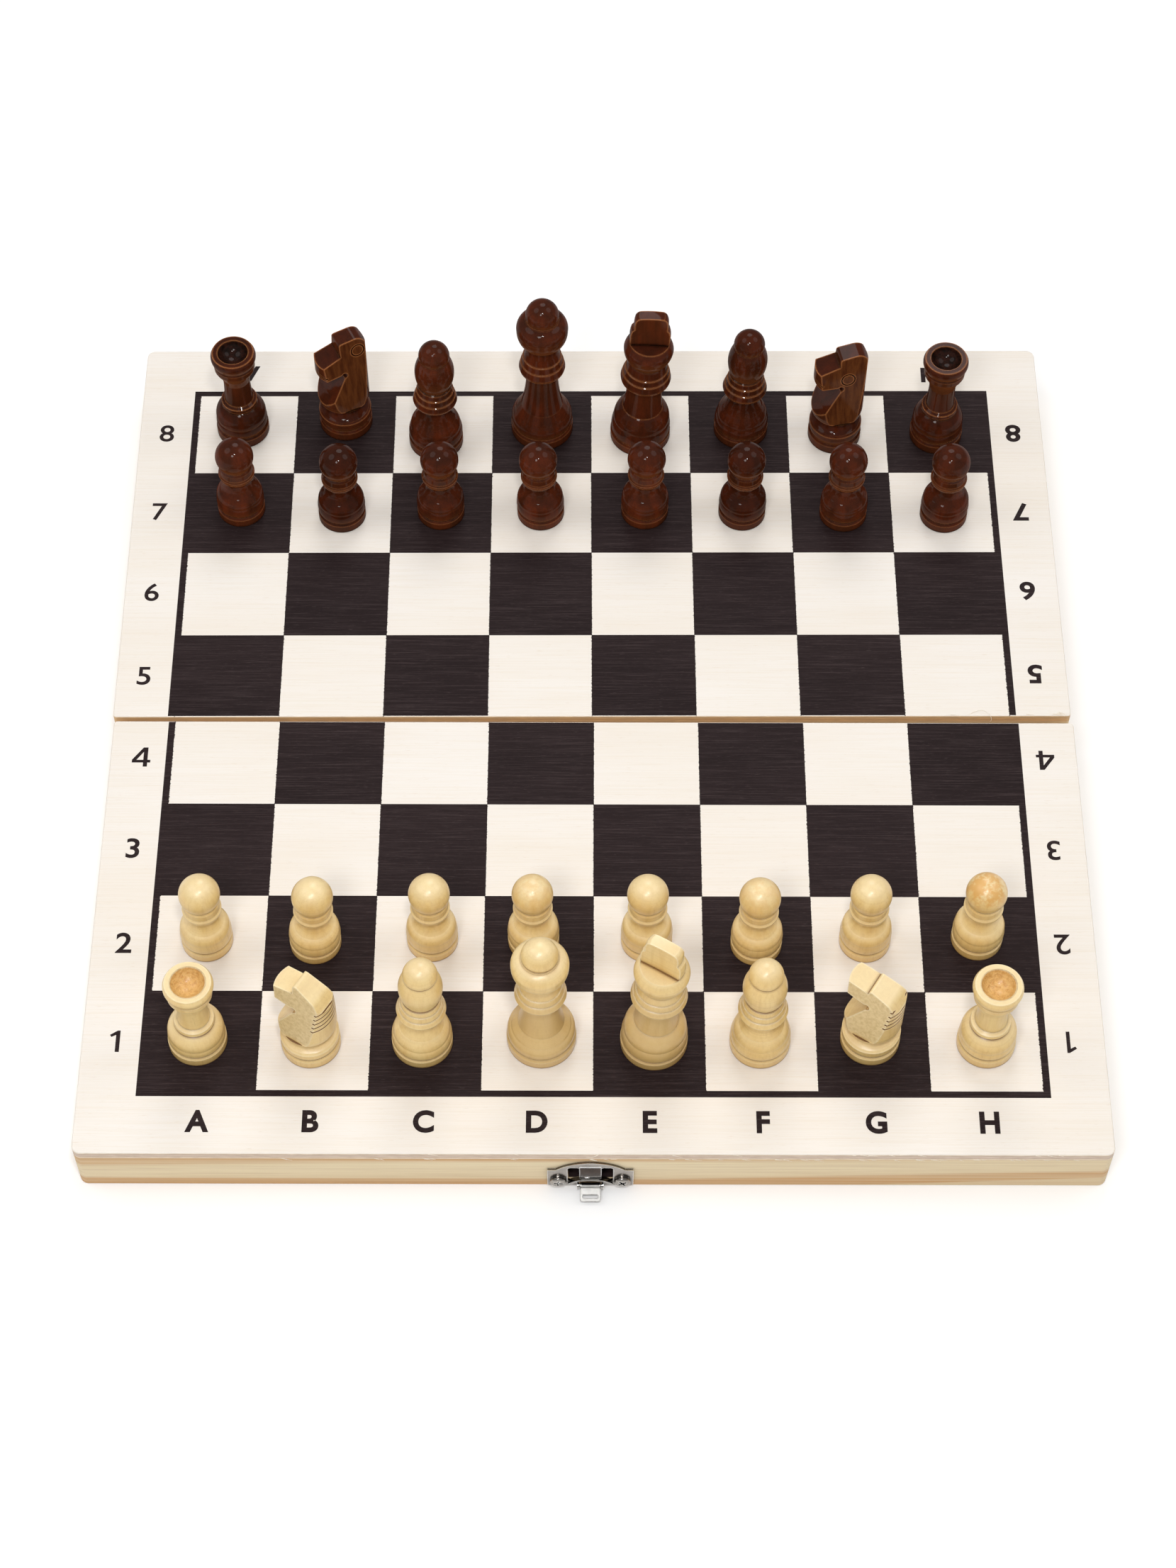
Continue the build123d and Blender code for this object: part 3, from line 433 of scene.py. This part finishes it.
def ink_material(name, seed):
    """Dark brown-black ink over the same veneer, whose grain shows through it."""
    tree = Tree(name)
    shift = (seed, seed * 1.7, 0)
    fine = tree.noise((60, 2600, 400), 4, 0.62, shift)
    dashes = tree.noise((420, 4600, 300), 3, 0.6, (seed + 5, 2, 0))
    bands = tree.noise((6, 90, 20), 3, 0.5, shift)
    colour = tree.lay(INK, INK_BAND, bands, (0.30, 0), (0.75, 1))
    colour = tree.lay(colour, INK_GRAIN, fine, (0.48, 0), (0.74, 0.75))
    colour = tree.lay(colour, INK_DASH, dashes, (0.60, 0), (0.78, 0.6))
    colour = tree.lay(colour, INK_PIT, dashes, (0.28, 0.7), (0.42, 0))
    return tree.finish(colour, 0.6, tree.bump(fine, 0.05 * MM, 0.5), Specular_IOR_Level=0.12)


def plain_rings(tree, wave):
    """Late wood in wavy level rings."""
    warped = tree.math("ADD", tree.axis("Z"), tree.times(wave, RING_WAVE))
    ring = tree.math("FRACT", tree.times(warped, 1 / RING_PITCH))
    return tree.ramp(ring, (0.0, 0.0), (0.55, 0.15), (0.86, 1.0), (0.93, 0.0))


def latch_rail_bands(tree, wave):
    """Late wood on the front face: a band under the panel that thins to the right, and one along the foot
    that climbs to the right and leaves a paler wedge below it."""
    x = tree.axis("X")
    z = tree.math("ADD", tree.axis("Z"), tree.times(tree.math("SUBTRACT", wave, 0.5), 3.0 * MM))
    band_edge = tree.math("ADD", BAND_HEIGHT, tree.times(tree.math("SUBTRACT", x, BAND_START), BAND_SLOPE))
    band = tree.step(z, tree.math("SUBTRACT", band_edge, 1.4 * MM), tree.math("ADD", band_edge, 1.2 * MM))
    rise = tree.times(tree.math("MAXIMUM", tree.math("SUBTRACT", x, FOOT_START), 0.0), FOOT_SLOPE)
    foot_edge = tree.math("ADD", FOOT_HEIGHT, rise)
    foot = tree.rest(tree.step(z, tree.math("SUBTRACT", foot_edge, 2.0 * MM), foot_edge))
    wedge = tree.times(tree.math("MAXIMUM", tree.math("SUBTRACT", x, WEDGE_START), 0.0), WEDGE_SLOPE)
    clear = tree.rest(tree.step(z, tree.math("SUBTRACT", wedge, 1.2 * MM), wedge))
    foot = tree.times(foot, tree.rest(tree.times(clear, 0.75)))
    lines = tree.noise((5, 20, 1500), 3, 0.6, (3, 1, 7))
    both = tree.math("MAXIMUM", tree.times(band, 0.85), foot)
    return tree.times(both, tree.ramp(lines, (0.35, 0.40), (0.62, 1.0)))


def pine_material(name, seed, along, late_wood=plain_rings, mortise_shade=False):
    """Pine rail: late wood and fine fibres along the rail, and painted shade in the mortise behind its
    latch.
    """
    tree = Tree(name)

    def cells(lengthwise, across, upright):
        return (lengthwise, across, upright) if along == "X" else (across, lengthwise, upright)

    shift = (seed, seed * 0.6, seed * 0.3)
    wave = tree.noise(cells(3.6, 90, 120), 2, 0.45, shift)
    fibres = tree.noise(cells(30, 2200, 2200), 4, 0.6, shift)
    broad = tree.noise(cells(4, 90, 110), 2, 0.5, shift)
    colour = tree.lay(PINE, PINE_BROAD, broad, (0.3, 0), (0.7, 1))
    colour = tree.mix(late_wood(tree, wave), colour, PINE_LATE)
    colour = tree.lay(colour, PINE_FIBRE, fibres, (0.45, 0), (0.80, 0.5))
    if mortise_shade:
        # Painted shade: the recess behind the latch is darkened to near black
        behind = tree.step(tree.axis("Y"), *(rail_low.y + depth for depth in MORTISE_DEPTH))
        near_latch = tree.math("LESS_THAN", tree.off("X"), MORTISE_HALF)
        colour = tree.mix(tree.times(behind, near_latch), colour, MORTISE_SHADE)
    return tree.finish(colour, 0.62, tree.bump(fibres, 0.06 * MM, 0.5), Specular_IOR_Level=0.2)


def top_centre(name):
    """Middle of a man's topmost ring."""
    mesh = nodes[name].data
    top = max(vertex.co.z for vertex in mesh.vertices)
    ring = [vertex.co for vertex in mesh.vertices if vertex.co.z > top - 0.7 * MM]
    return Vector((sum(co.x for co in ring) / len(ring), sum(co.y for co in ring) / len(ring), top))


def bowl(tree, name):
    """1 inside the dish on a rook's top."""
    centre = top_centre(name)
    inside = tree.rest(tree.step(tree.radius(centre), *BOWL_RIM))
    high = tree.step(tree.axis("Z"), *(centre.z - depth for depth in BOWL_DEPTH))
    return tree.times(inside, high)


def flats(tree, name):
    """1 on the two sawn flats of a knight."""
    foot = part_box(name)[0].z
    flat = tree.step(tree.facing_along(MUZZLE_TURNS[name]), 0.955, 0.975)
    return tree.times(flat, tree.step(tree.axis("Z"), *(foot + height for height in FLAT_FOOT)))


def light_wood_material(name, seed):
    """Pale turned wood with a satin lacquer, painted paler on its tops, its rims both rubbed and painted as
    highlight, painted shade in its grooves, creases and hollows and low on kings and queens, and rough
    where it was sawn or bored.
    """
    tree = Tree("wood_" + name)
    shift = (seed * 3.1, seed * 1.3, seed * 0.7)
    grain = tree.noise((900, 900, 60), 4, 0.6, shift, 0.4)
    bands = tree.noise((160, 160, 18), 2, 0.5, shift)
    pores = tree.noise((2600, 2600, 300), 3, 0.6, shift)
    lathe = tree.noise((8, 8, 2600), 2, 0.5, shift)
    rough = tree.noise((900, 900, 900), 4, 0.65, shift)
    tone = random.uniform(0.96, 1.03)
    colour = tree.lay(tuple(tone * part for part in LIGHT_WOOD), LIGHT_BAND, bands, (0.35, 0), (0.70, 1))
    colour = tree.lay(colour, LIGHT_GRAIN, grain, (0.45, 0), (0.78, 0.5))
    colour = tree.lay(colour, LIGHT_PORE, pores, (0.60, 0), (0.78, 0.45))
    colour = tree.lay(colour, LIGHT_LATHE, lathe, (0.50, 0), (0.75, 0.25))
    # Painted light: faces turned up are made paler
    colour = tree.tint(colour, LIGHT_TOP_PAINTED_LIGHT, tree.upward(0.30, 0.95), 0.38)
    # Painted shade: hollows under balls and collars are made darker and more golden
    colour = tree.tint(colour, LIGHT_HOLLOW_SHADE, tree.crevices(5.0 * MM, 0.45, 0.95), 0.55)
    normal = tree.bump(lathe, 0.03 * MM, 0.35, tree.bump(grain, 0.08 * MM, 0.4))
    if "king" in name or "queen" in name:
        # Painted shade: the lower part of a king or queen, under its head, is made darker
        stem_shade = tree.rest(tree.step(tree.axis("Z"), *(PLAY_Z + height for height in STEM_SHADE_HEIGHT)))
        colour = tree.tint(colour, LIGHT_STEM_SHADE, stem_shade, 0.55)
    if "rook" in name:
        dish = bowl(tree, name)
        bored = tree.lay(LIGHT_BOWL, LIGHT_BOWL_TORN, rough, (0.45, 0), (0.70, 1))
        # Painted shade: the deeper part of the bored dish is darker
        bored = tree.tint(bored, LIGHT_BOWL_SHADE, tree.crevices(7.0 * MM, 0.10, 0.75), 0.6)
        colour = tree.mix(dish, colour, bored)
        normal = tree.bump(tree.times(rough, dish), 0.9 * MM, 0.8, normal)
    if "knight" in name:
        sawn = tree.lay(LIGHT_SAWN, LIGHT_SAWN_ROUGH, rough, (0.40, 0), (0.65, 1))
        colour = tree.mix(flats(tree, name), colour, sawn)
    if name in BLOTCHED:
        crown = tree.step(tree.axis("Z"), *(PLAY_Z + height for height in CROWN_HEIGHT))
        patches = tree.ramp(tree.noise((300, 300, 300), 3, 0.65, shift), (0.42, 0), (0.54, 1))
        colour = tree.tint(colour, LIGHT_BLOTCH, tree.times(crown, patches), BLOTCHED[name])
    # Painted shade: darker in grooves here, and in inward creases below
    colour = tree.tint(colour, LIGHT_GROOVE_SHADE, tree.crevices(1.1 * MM, 0.62, 0.97), 0.85)
    creases, rims = tree.seams(0.9 * MM, 2.2 * MM, 0.76, 0.95)
    # Outward rims made paler: rubbed wear and painted edge highlight
    colour = tree.mix(creases, tree.tint(colour, LIGHT_RIM_WEAR_AND_HIGHLIGHT, rims, 0.55), LIGHT_CREASE_SHADE)
    return tree.finish(colour, 0.42, normal, Coat_Weight=0.55, Coat_Roughness=0.26)


def dark_wood_material(name, seed):
    """Red-brown stained wood under gloss, with painted shade that makes it nearly black in the grooves and
    darker on top, painted bounce light on faces turned down, and rims both rubbed and painted as highlight.
    """
    tree = Tree("wood_" + name)
    shift = (seed * 2.3, seed * 1.9, seed * 0.9)
    grain = tree.noise((700, 700, 40), 4, 0.6, shift, 0.4)
    bands = tree.noise((220, 220, 60), 3, 0.5, shift)
    rough = tree.noise((700, 700, 700), 4, 0.65, shift)
    lumps = tree.noise((620, 620, 620), 4, 0.62, shift)
    tone = DARK_TONES.get(name, 1.0)
    red, brown = (tuple(tone * part for part in stain) for stain in (DARK_RED, DARK_BROWN))
    colour = tree.lay(red, brown, bands, (0.35, 0), (0.65, 1))
    colour = tree.lay(colour, DARK_GRAIN, grain, (0.44, 0), (0.72, 0.4))
    # Painted bounce light: faces turned down or sideways are made paler orange-brown
    colour = tree.tint(colour, DARK_BOUNCE_LIGHT, tree.rest(tree.upward(-0.60, 0.20)), 0.75)
    # Painted shade: faces turned up are made darker
    colour = tree.tint(colour, DARK_TOP_SHADE, tree.upward(0.35, 0.95), 0.45)
    normal = tree.bump(grain, 0.03 * MM, 0.2, tree.bump(lumps, 0.45 * MM, 0.55))
    if "rook" in name:
        dish = bowl(tree, name)
        bored = tree.lay(DARK_BOWL, DARK_BOWL_TORN, rough, (0.40, 0), (0.62, 1))
        colour = tree.mix(dish, colour, bored)
        normal = tree.bump(tree.times(rough, dish), 1.2 * MM, 0.9, normal)
    if "knight" in name:
        sawn = tree.lay(DARK_SAWN, DARK_SAWN_GRAIN, grain, (0.38, 0), (0.66, 1))
        colour = tree.mix(flats(tree, name), colour, sawn)
    # Painted shade: nearly black in grooves here, and in inward creases below
    colour = tree.mix(tree.crevices(1.8 * MM, 0.50, 0.85), colour, DARK_GROOVE_SHADE)
    creases, rims = tree.seams(0.8 * MM, 2.0 * MM)
    # Outward rims made orange: rubbed wear and painted edge highlight
    colour = tree.mix(creases, tree.tint(colour, DARK_RIM_WEAR_AND_HIGHLIGHT, rims, 0.95), DARK_CREASE_SHADE)
    return tree.finish(colour, 0.36, normal, Specular_IOR_Level=0.0, Coat_Weight=0.22, Coat_Roughness=0.07)


def hasp_barrel_shade(tree):
    """1 on the rolled end of the hasp between its pin's lugs, where painted shade goes."""
    behind = tree.step(tree.axis("Y"), *(hasp_high.y - depth for depth in BARREL_DEPTH))
    return tree.times(behind, tree.math("LESS_THAN", tree.off("X", HASP_X), BARREL_HALF))


def metal_material(name, colour, roughness, shade_strength=0.0, painted_edge=NICKEL_EDGE_HIGHLIGHT, shaded=None):
    """Plated metal with faint smears in its polish, painted shade in its corners, edges painted in a light
    or dark colour of their own, and a part in painted shade.
    """
    tree = Tree(name)
    smear = tree.noise((300, 300, 300), 3, 0.6)
    scratches = tree.noise((3000, 200, 3000), 2, 0.5)
    base = tree.lay(colour, tuple(0.72 * part for part in colour), smear, (0.35, 0), (0.75, 1))
    if shade_strength:
        # Painted shade: darker in corners and recesses
        base = tree.tint(base, METAL_CREVICE_SHADE, tree.crevices(2.2 * MM, 0.45, 0.97), shade_strength)
        # Painted edge highlight on the nickel, painted edge shade on the hasp
        base = tree.mix(tree.edges(0.55 * MM, 0.75, 0.98), base, painted_edge)
    if shaded:
        # Painted shade: the hasp's barrel is darkened to near black
        base = tree.mix(shaded(tree), base, TONGUE_BARREL_SHADE)
    rough = tree.math("ADD", roughness, tree.times(smear, 0.12))
    return tree.finish(base, rough, tree.bump(scratches, 0.01 * MM, 0.4), Metallic=1.0)


def dress(name, material):
    """Gives a CAD node its material."""
    mesh = nodes[name].data
    mesh.materials.clear()
    mesh.materials.append(material)


def dress_board():
    """Plywood, ink and pine on both halves."""
    for number, half in enumerate(("front", "back")):
        turn = BACK_TURN * number
        moved = BACK_SHIFT * number
        dress(f"{half}_panel", ply_material(f"ply_{half}", 2.0 + 3 * number, turn, moved))
        dress(f"{half}_dark_print", ink_material(f"ink_{half}", 2.0 + 3 * number))
        dress(f"{half}_left_rail", pine_material(f"pine_{half}_left", 4.0 + number, "Y"))
        dress(f"{half}_right_rail", pine_material(f"pine_{half}_right", 7.0 + number, "Y"))
        dress(f"{half}_spine_rail", pine_material(f"pine_{half}_spine", 11.0 + number, "X"))
    dress("front_latch_rail", pine_material("pine_latch", 21.0, "X", latch_rail_bands, True))
    dress("back_keeper_rail", pine_material("pine_keeper", 25.0, "X"))


def dress_metal():
    """Nickel on the latch and the keeper, steel on the hinges."""
    nickel = metal_material("nickel", NICKEL, 0.12, 0.97)
    # The strap's dark colour is a painted dark reflection in its polish
    strap = metal_material("nickel_strap", STRAP_DARK_REFLECTION, 0.16, 0.95)
    tongue = metal_material("nickel_tongue", TONGUE, 0.30, 0.9, TONGUE_EDGE_SHADE, hasp_barrel_shade)
    steel = metal_material("steel", STEEL, 0.28)
    for name in nodes:
        if name == "hasp":
            dress(name, tongue)
        elif name == "latch_spring":
            dress(name, strap)
        elif name.startswith(("latch_", "keeper_")):
            dress(name, nickel)
        elif "hinge" in name:
            dress(name, steel)


def dress_men():
    """A wood of its own on each man."""
    for number, name in enumerate(sorted(nodes)):
        if name.startswith("light_"):
            dress(name, light_wood_material(name, number))
        elif name.startswith("dark_"):
            dress(name, dark_wood_material(name, number))


def link(name, data):
    """A new object in the scene."""
    thing = bpy.data.objects.new(name, data)
    bpy.context.scene.collection.objects.link(thing)
    return thing


def curve_mesh(curve, name):
    """The mesh of a text or curve, without the object that made it."""
    temporary = link(name + "_shape", curve)
    bpy.context.view_layer.update()
    graph = bpy.context.evaluated_depsgraph_get()
    mesh = bpy.data.meshes.new_from_object(temporary.evaluated_get(graph))
    bpy.data.objects.remove(temporary)
    mesh.name = name
    return mesh


def shape_mesh(shape, name):
    """The mesh of a finished shape."""
    mesh = bpy.data.meshes.new(name)
    shape.to_mesh(mesh)
    shape.free()
    return mesh


def add_piece(name, mesh, material, body):
    """A piece of the scene that rides on a body of the model."""
    mesh.materials.clear()
    mesh.materials.append(material)
    piece = link(name, mesh)
    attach(piece, body)


def text_curve(text, name, height, bold):
    """The outline of a letter or digit of the font."""
    curve = bpy.data.curves.new(name, "FONT")
    curve.body = text
    curve.size = height / CAPITAL_SHARE
    curve.offset = bold
    curve.resolution_u = 6
    return curve


def drawn_curve(name, outlines):
    """A flat shape from its outer outline and those of its holes."""
    curve = bpy.data.curves.new(name, "CURVE")
    curve.dimensions = "2D"
    curve.fill_mode = "BOTH"
    for corners in outlines:
        spline = curve.splines.new("POLY")
        spline.points.add(len(corners) - 1)
        for point, (x, y) in zip(spline.points, corners):
            point.co = (x, y, 0, 1)
        spline.use_cyclic_u = True
    return curve


def flagged_one(height, bold):
    """The outline of a 1 with a flag at its top."""
    stroke = 0.115 * height + 2 * bold
    flag = 0.24 * height
    outline = (
        (0, 0), (stroke, 0), (stroke, height), (stroke * 0.35, height),
        (-flag, height * 0.80), (-flag * 0.75, height * 0.70), (0, height * 0.80),
    )
    return [outline]


def open_four(height):
    """The outlines of a 4 and of the hole in it."""
    outer = (
        (0.00, 0.21), (0.46, 0.21), (0.46, 0.00), (0.63, 0.00), (0.63, 0.21), (0.75, 0.21),
        (0.75, 0.35), (0.63, 0.35), (0.63, 1.00), (0.44, 1.00), (0.00, 0.36),
    )
    hole = ((0.18, 0.35), (0.46, 0.35), (0.46, 0.77))
    return [[(x * height, y * height) for x, y in outline] for outline in (outer, hole)]


def glyph_curve(text, name, height, bold):
    """The outline of a letter or digit. The font's 1 and 4 have other forms, so those are drawn."""
    if text == "1":
        return drawn_curve(name, flagged_one(height, bold))
    if text == "4":
        return drawn_curve(name, open_four(height))
    return text_curve(text, name, height, bold)


def glyph(text, name, x, y, turn, body, material, height, bold=LETTER_BOLD, stretch=1.0):
    """One printed letter or digit, centred on a place of the board's face."""
    curve = glyph_curve(text, name, height, bold)
    curve.extrude = GLYPH_DEPTH
    mesh = curve_mesh(curve, name)
    low = Vector((min(v.co.x for v in mesh.vertices), min(v.co.y for v in mesh.vertices), 0))
    high = Vector((max(v.co.x for v in mesh.vertices), max(v.co.y for v in mesh.vertices), 0))
    mesh.transform(Matrix.Translation(-(low + high) / 2))
    mesh.transform(Matrix.Diagonal((stretch, 1, 1, 1)))
    mesh.transform(Matrix.Rotation(turn, 4, "Z"))
    mesh.transform(Matrix.Translation((x, y, PLAY_Z + GLYPH_LIFT)))
    add_piece(name, mesh, material, body)


def letters(ink):
    """Letters along both outer borders, those at the back upside down."""
    for column, letter in enumerate("ABCDEFGH"):
        x = GRID_X + (column + 0.5) * SQUARE
        glyph(letter, f"letter_{letter}_front", x, LETTER_Y, 0.0, "front_half", ink, LETTER_HEIGHT,
              stretch=LETTER_STRETCH)
        glyph(letter, f"letter_{letter}_back", x + BACK_LETTER_SHIFT, -LETTER_Y, math.pi, "back_half", ink,
              BACK_LETTER_HEIGHT)


def digits(ink):
    """Digits up both sides, those on the right upside down."""
    for row in range(ROWS):
        half = row // ROWS_PER_HALF
        body = ("front_half", "back_half")[half]
        digit = str(row + 1)
        glyph(digit, f"digit_{digit}_left", LEFT_X[half], LEFT_ROWS[row] * MM, 0.0, body, ink,
              DIGIT_HEIGHT, LEFT_BOLD[half], DIGIT_STRETCH)
        glyph(digit, f"digit_{digit}_right", RIGHT_X[half], RIGHT_ROWS[row] * MM, math.pi, body, ink,
              DIGIT_HEIGHT, RIGHT_BOLD[half], DIGIT_STRETCH)


def strand(shape, places, thickness):
    """A four-sided fibre through places, tapering to its end."""
    rings = []
    last = len(places) - 1
    for number, place in enumerate(places):
        ahead = places[min(number + 1, last)] - places[max(number - 1, 0)]
        side = ahead.cross(Vector((0, 0, 1)))
        side = side.normalized() if side.length > 0 else Vector((1, 0, 0))
        over = ahead.cross(side).normalized()
        half = thickness / 2 * (1.0 - 0.75 * number / last)
        rings.append([shape.verts.new(place + half * (side * a + over * b))
                      for a, b in ((1, 0), (0, 1), (-1, 0), (0, -1))])
    for near, far in zip(rings, rings[1:]):
        for corner in range(4):
            after = (corner + 1) % 4
            shape.faces.new((near[corner], near[after], far[after], far[corner]))
    shape.faces.new(rings[0])
    shape.faces.new(rings[-1][::-1])


def on_face(places):
    """Places given in millimetres along and across the board and above its face."""
    return [Vector((x * MM, y * MM, PLAY_Z + z * MM)) for x, y, z in places]


def fibre_material():
    """Torn wood fibre, nearly white."""
    tree = Tree("fibre")
    streaks = tree.noise((4000, 4000, 4000), 3, 0.6)
    colour = tree.lay(TORN_FIBRE, TORN_FIBRE_SHADE, streaks, (0.35, 0), (0.70, 1))
    return tree.finish(colour, 0.7, tree.bump(streaks, 0.02 * MM, 0.3), Specular_IOR_Level=0.2)


def front_splinters():
    """Fibres torn up along the front edge, three in four of them at its lower ply."""
    shape = bmesh.new()
    for cluster in SPLINTER_PLACES:
        for _ in range(random.randint(2, 5)):
            x = (cluster + random.uniform(-3.5, 3.5)) * MM
            low = random.random() < 0.75
            z = (PLY_Z if low else PLAY_Z - 0.3 * MM) + random.uniform(-0.25, 0.3) * MM
            length = random.uniform(0.9, 3.0) * MM
            way = random.uniform(-0.4, 0.9)
            start = Vector((x, panel_low.y + 0.02 * MM, z))
            middle = start + Vector((length * 0.5, -0.12 * MM, -length * 0.25 * way))
            end = start + Vector((length, -0.22 * MM, -length * 0.55 * way))
            strand(shape, [start, middle, end], SPLINTER_THICK)
    return shape_mesh(shape, "front_splinters")


def fold_fibres():
    """The long curled fibre and the torn corner on the right of the back half's fold edge."""
    curl = (
        (113.3, 1.75, -0.1), (114.8, 2.6, 0.2), (116.6, 3.15, 0.5), (118.2, 2.9, 0.8),
        (119.4, 1.8, 0.9), (120.2, 0.5, 0.7), (120.2, -0.3, 0.4), (119.8, -0.7, 0.15),
    )
    torn = (
        ((140.4, 2.6, 0.0), (141.5, 2.0, 0.25), (142.6, 1.3, 0.15)),
        ((140.9, 2.9, 0.0), (142.0, 2.4, 0.3), (143.1, 1.7, 0.1)),
        ((139.0, 2.2, 0.0), (140.2, 2.0, 0.2), (141.6, 1.7, 0.0)),
        ((131.0, 2.1, 0.0), (132.0, 1.9, 0.15), (133.4, 1.8, 0.05)),
        ((108.0, 1.9, 0.0), (109.2, 1.7, 0.15), (110.6, 1.6, 0.0)),
    )
    shape = bmesh.new()
    strand(shape, on_face(curl), CURL_THICK)
    for places in torn:
        strand(shape, on_face(places), TORN_THICK)
    return shape_mesh(shape, "fold_fibres")


def latch_fibre():
    """The fibre that hangs over the front edge above the latch."""
    y = panel_low.y / MM
    places = (
        (1.6, y + 0.3, 19.5), (1.1, y - 0.15, 19.2), (0.1, y - 0.35, 18.7),
        (-1.0, y - 0.30, 18.3), (-1.9, y - 0.20, 18.1),
    )
    shape = bmesh.new()
    strand(shape, [Vector(place) * MM for place in places], SPLINTER_THICK)
    return shape_mesh(shape, "latch_fibre")


def torn_fibres():
    """Loose fibres along the front edge, over the latch and at the fold."""
    pale = fibre_material()
    add_piece("front_splinters", front_splinters(), pale, "front_half")
    add_piece("latch_fibre", latch_fibre(), pale, "front_half")
    add_piece("fold_fibres", fold_fibres(), pale, "back_half")


def floor_material():
    """White that keeps its shadows near the board, and turns fully white far off for the camera alone."""
    tree = Tree("floor_white")
    tree.nodes.remove(tree.shader)
    rays = tree.add("ShaderNodeLightPath").outputs
    far = tree.step(tree.radius(Vector((0, 0, 0))), FLOOR_NEAR, FLOOR_FAR)
    whiter = tree.times(rays["Is Camera Ray"], far, 1.0 - FLOOR_GLOW)
    glow = tree.add("ShaderNodeEmission", {"Strength": tree.math("ADD", FLOOR_GLOW, whiter)})
    black = tree.add("ShaderNodeEmission", {"Strength": 0.0})
    seen = tree.math("MAXIMUM", rays["Is Camera Ray"], rays["Is Glossy Ray"])
    picked = tree.add("ShaderNodeMixShader", {0: seen, 1: black.outputs[0], 2: glow.outputs[0]})
    diffuse = tree.add("ShaderNodeBsdfDiffuse", {"Color": (FLOOR_WHITE, FLOOR_WHITE, FLOOR_WHITE, 1)})
    both = tree.add("ShaderNodeAddShader", {0: diffuse.outputs[0], 1: picked.outputs[0]})
    tree.links.new(both.outputs[0], tree.output.inputs["Surface"])
    return tree.material


def add_floor():
    """A wide floor at the level that the board lies on."""
    shape = bmesh.new()
    bmesh.ops.create_grid(shape, x_segments=2, y_segments=2, size=FLOOR_SIZE)
    mesh = shape_mesh(shape, "floor")
    mesh.materials.append(floor_material())
    link("floor", mesh)


def add_world():
    """Even light from all round, seen as pure white by the camera."""
    world = bpy.data.worlds.new("studio")
    world.use_nodes = True
    bpy.context.scene.world = world
    tree = world.node_tree
    background = tree.nodes["Background"]
    light_path = tree.nodes.new("ShaderNodeLightPath")
    strength = tree.nodes.new("ShaderNodeMapRange")
    strength.inputs["To Min"].default_value = WORLD_LIGHT
    strength.inputs["To Max"].default_value = 1.0
    tree.links.new(light_path.outputs["Is Camera Ray"], strength.inputs["Value"])
    tree.links.new(strength.outputs["Result"], background.inputs["Strength"])
    background.inputs["Color"].default_value = (1, 1, 1, 1)


def add_lamps():
    """Round lamps that face the middle of the board."""
    for name, place, size, power in LAMPS:
        lamp = bpy.data.lights.new(name, "AREA")
        lamp.shape = "DISK"
        lamp.size = size
        lamp.energy = power
        holder = link(name, lamp)
        holder.location = place
        holder.rotation_euler = (-Vector(place)).to_track_quat("-Z", "Y").to_euler()


def add_camera():
    """The camera that took the photo."""
    camera = bpy.data.cameras.new("camera")
    camera.sensor_width = SENSOR
    camera.lens = FOCAL_PIXELS / PHOTO_HEIGHT * SENSOR
    holder = link("camera", camera)
    holder.location = CAMERA_PLACE
    holder.rotation_euler = tuple(math.radians(angle) for angle in CAMERA_TURN)
    bpy.context.scene.camera = holder


dress_board()
dress_metal()
dress_men()
lettering_ink = ink_material("ink_lettering", 9.0)
letters(lettering_ink)
digits(lettering_ink)
torn_fibres()
add_floor()
add_world()
add_lamps()
add_camera()
bpy.context.scene.view_settings.view_transform = "Standard"
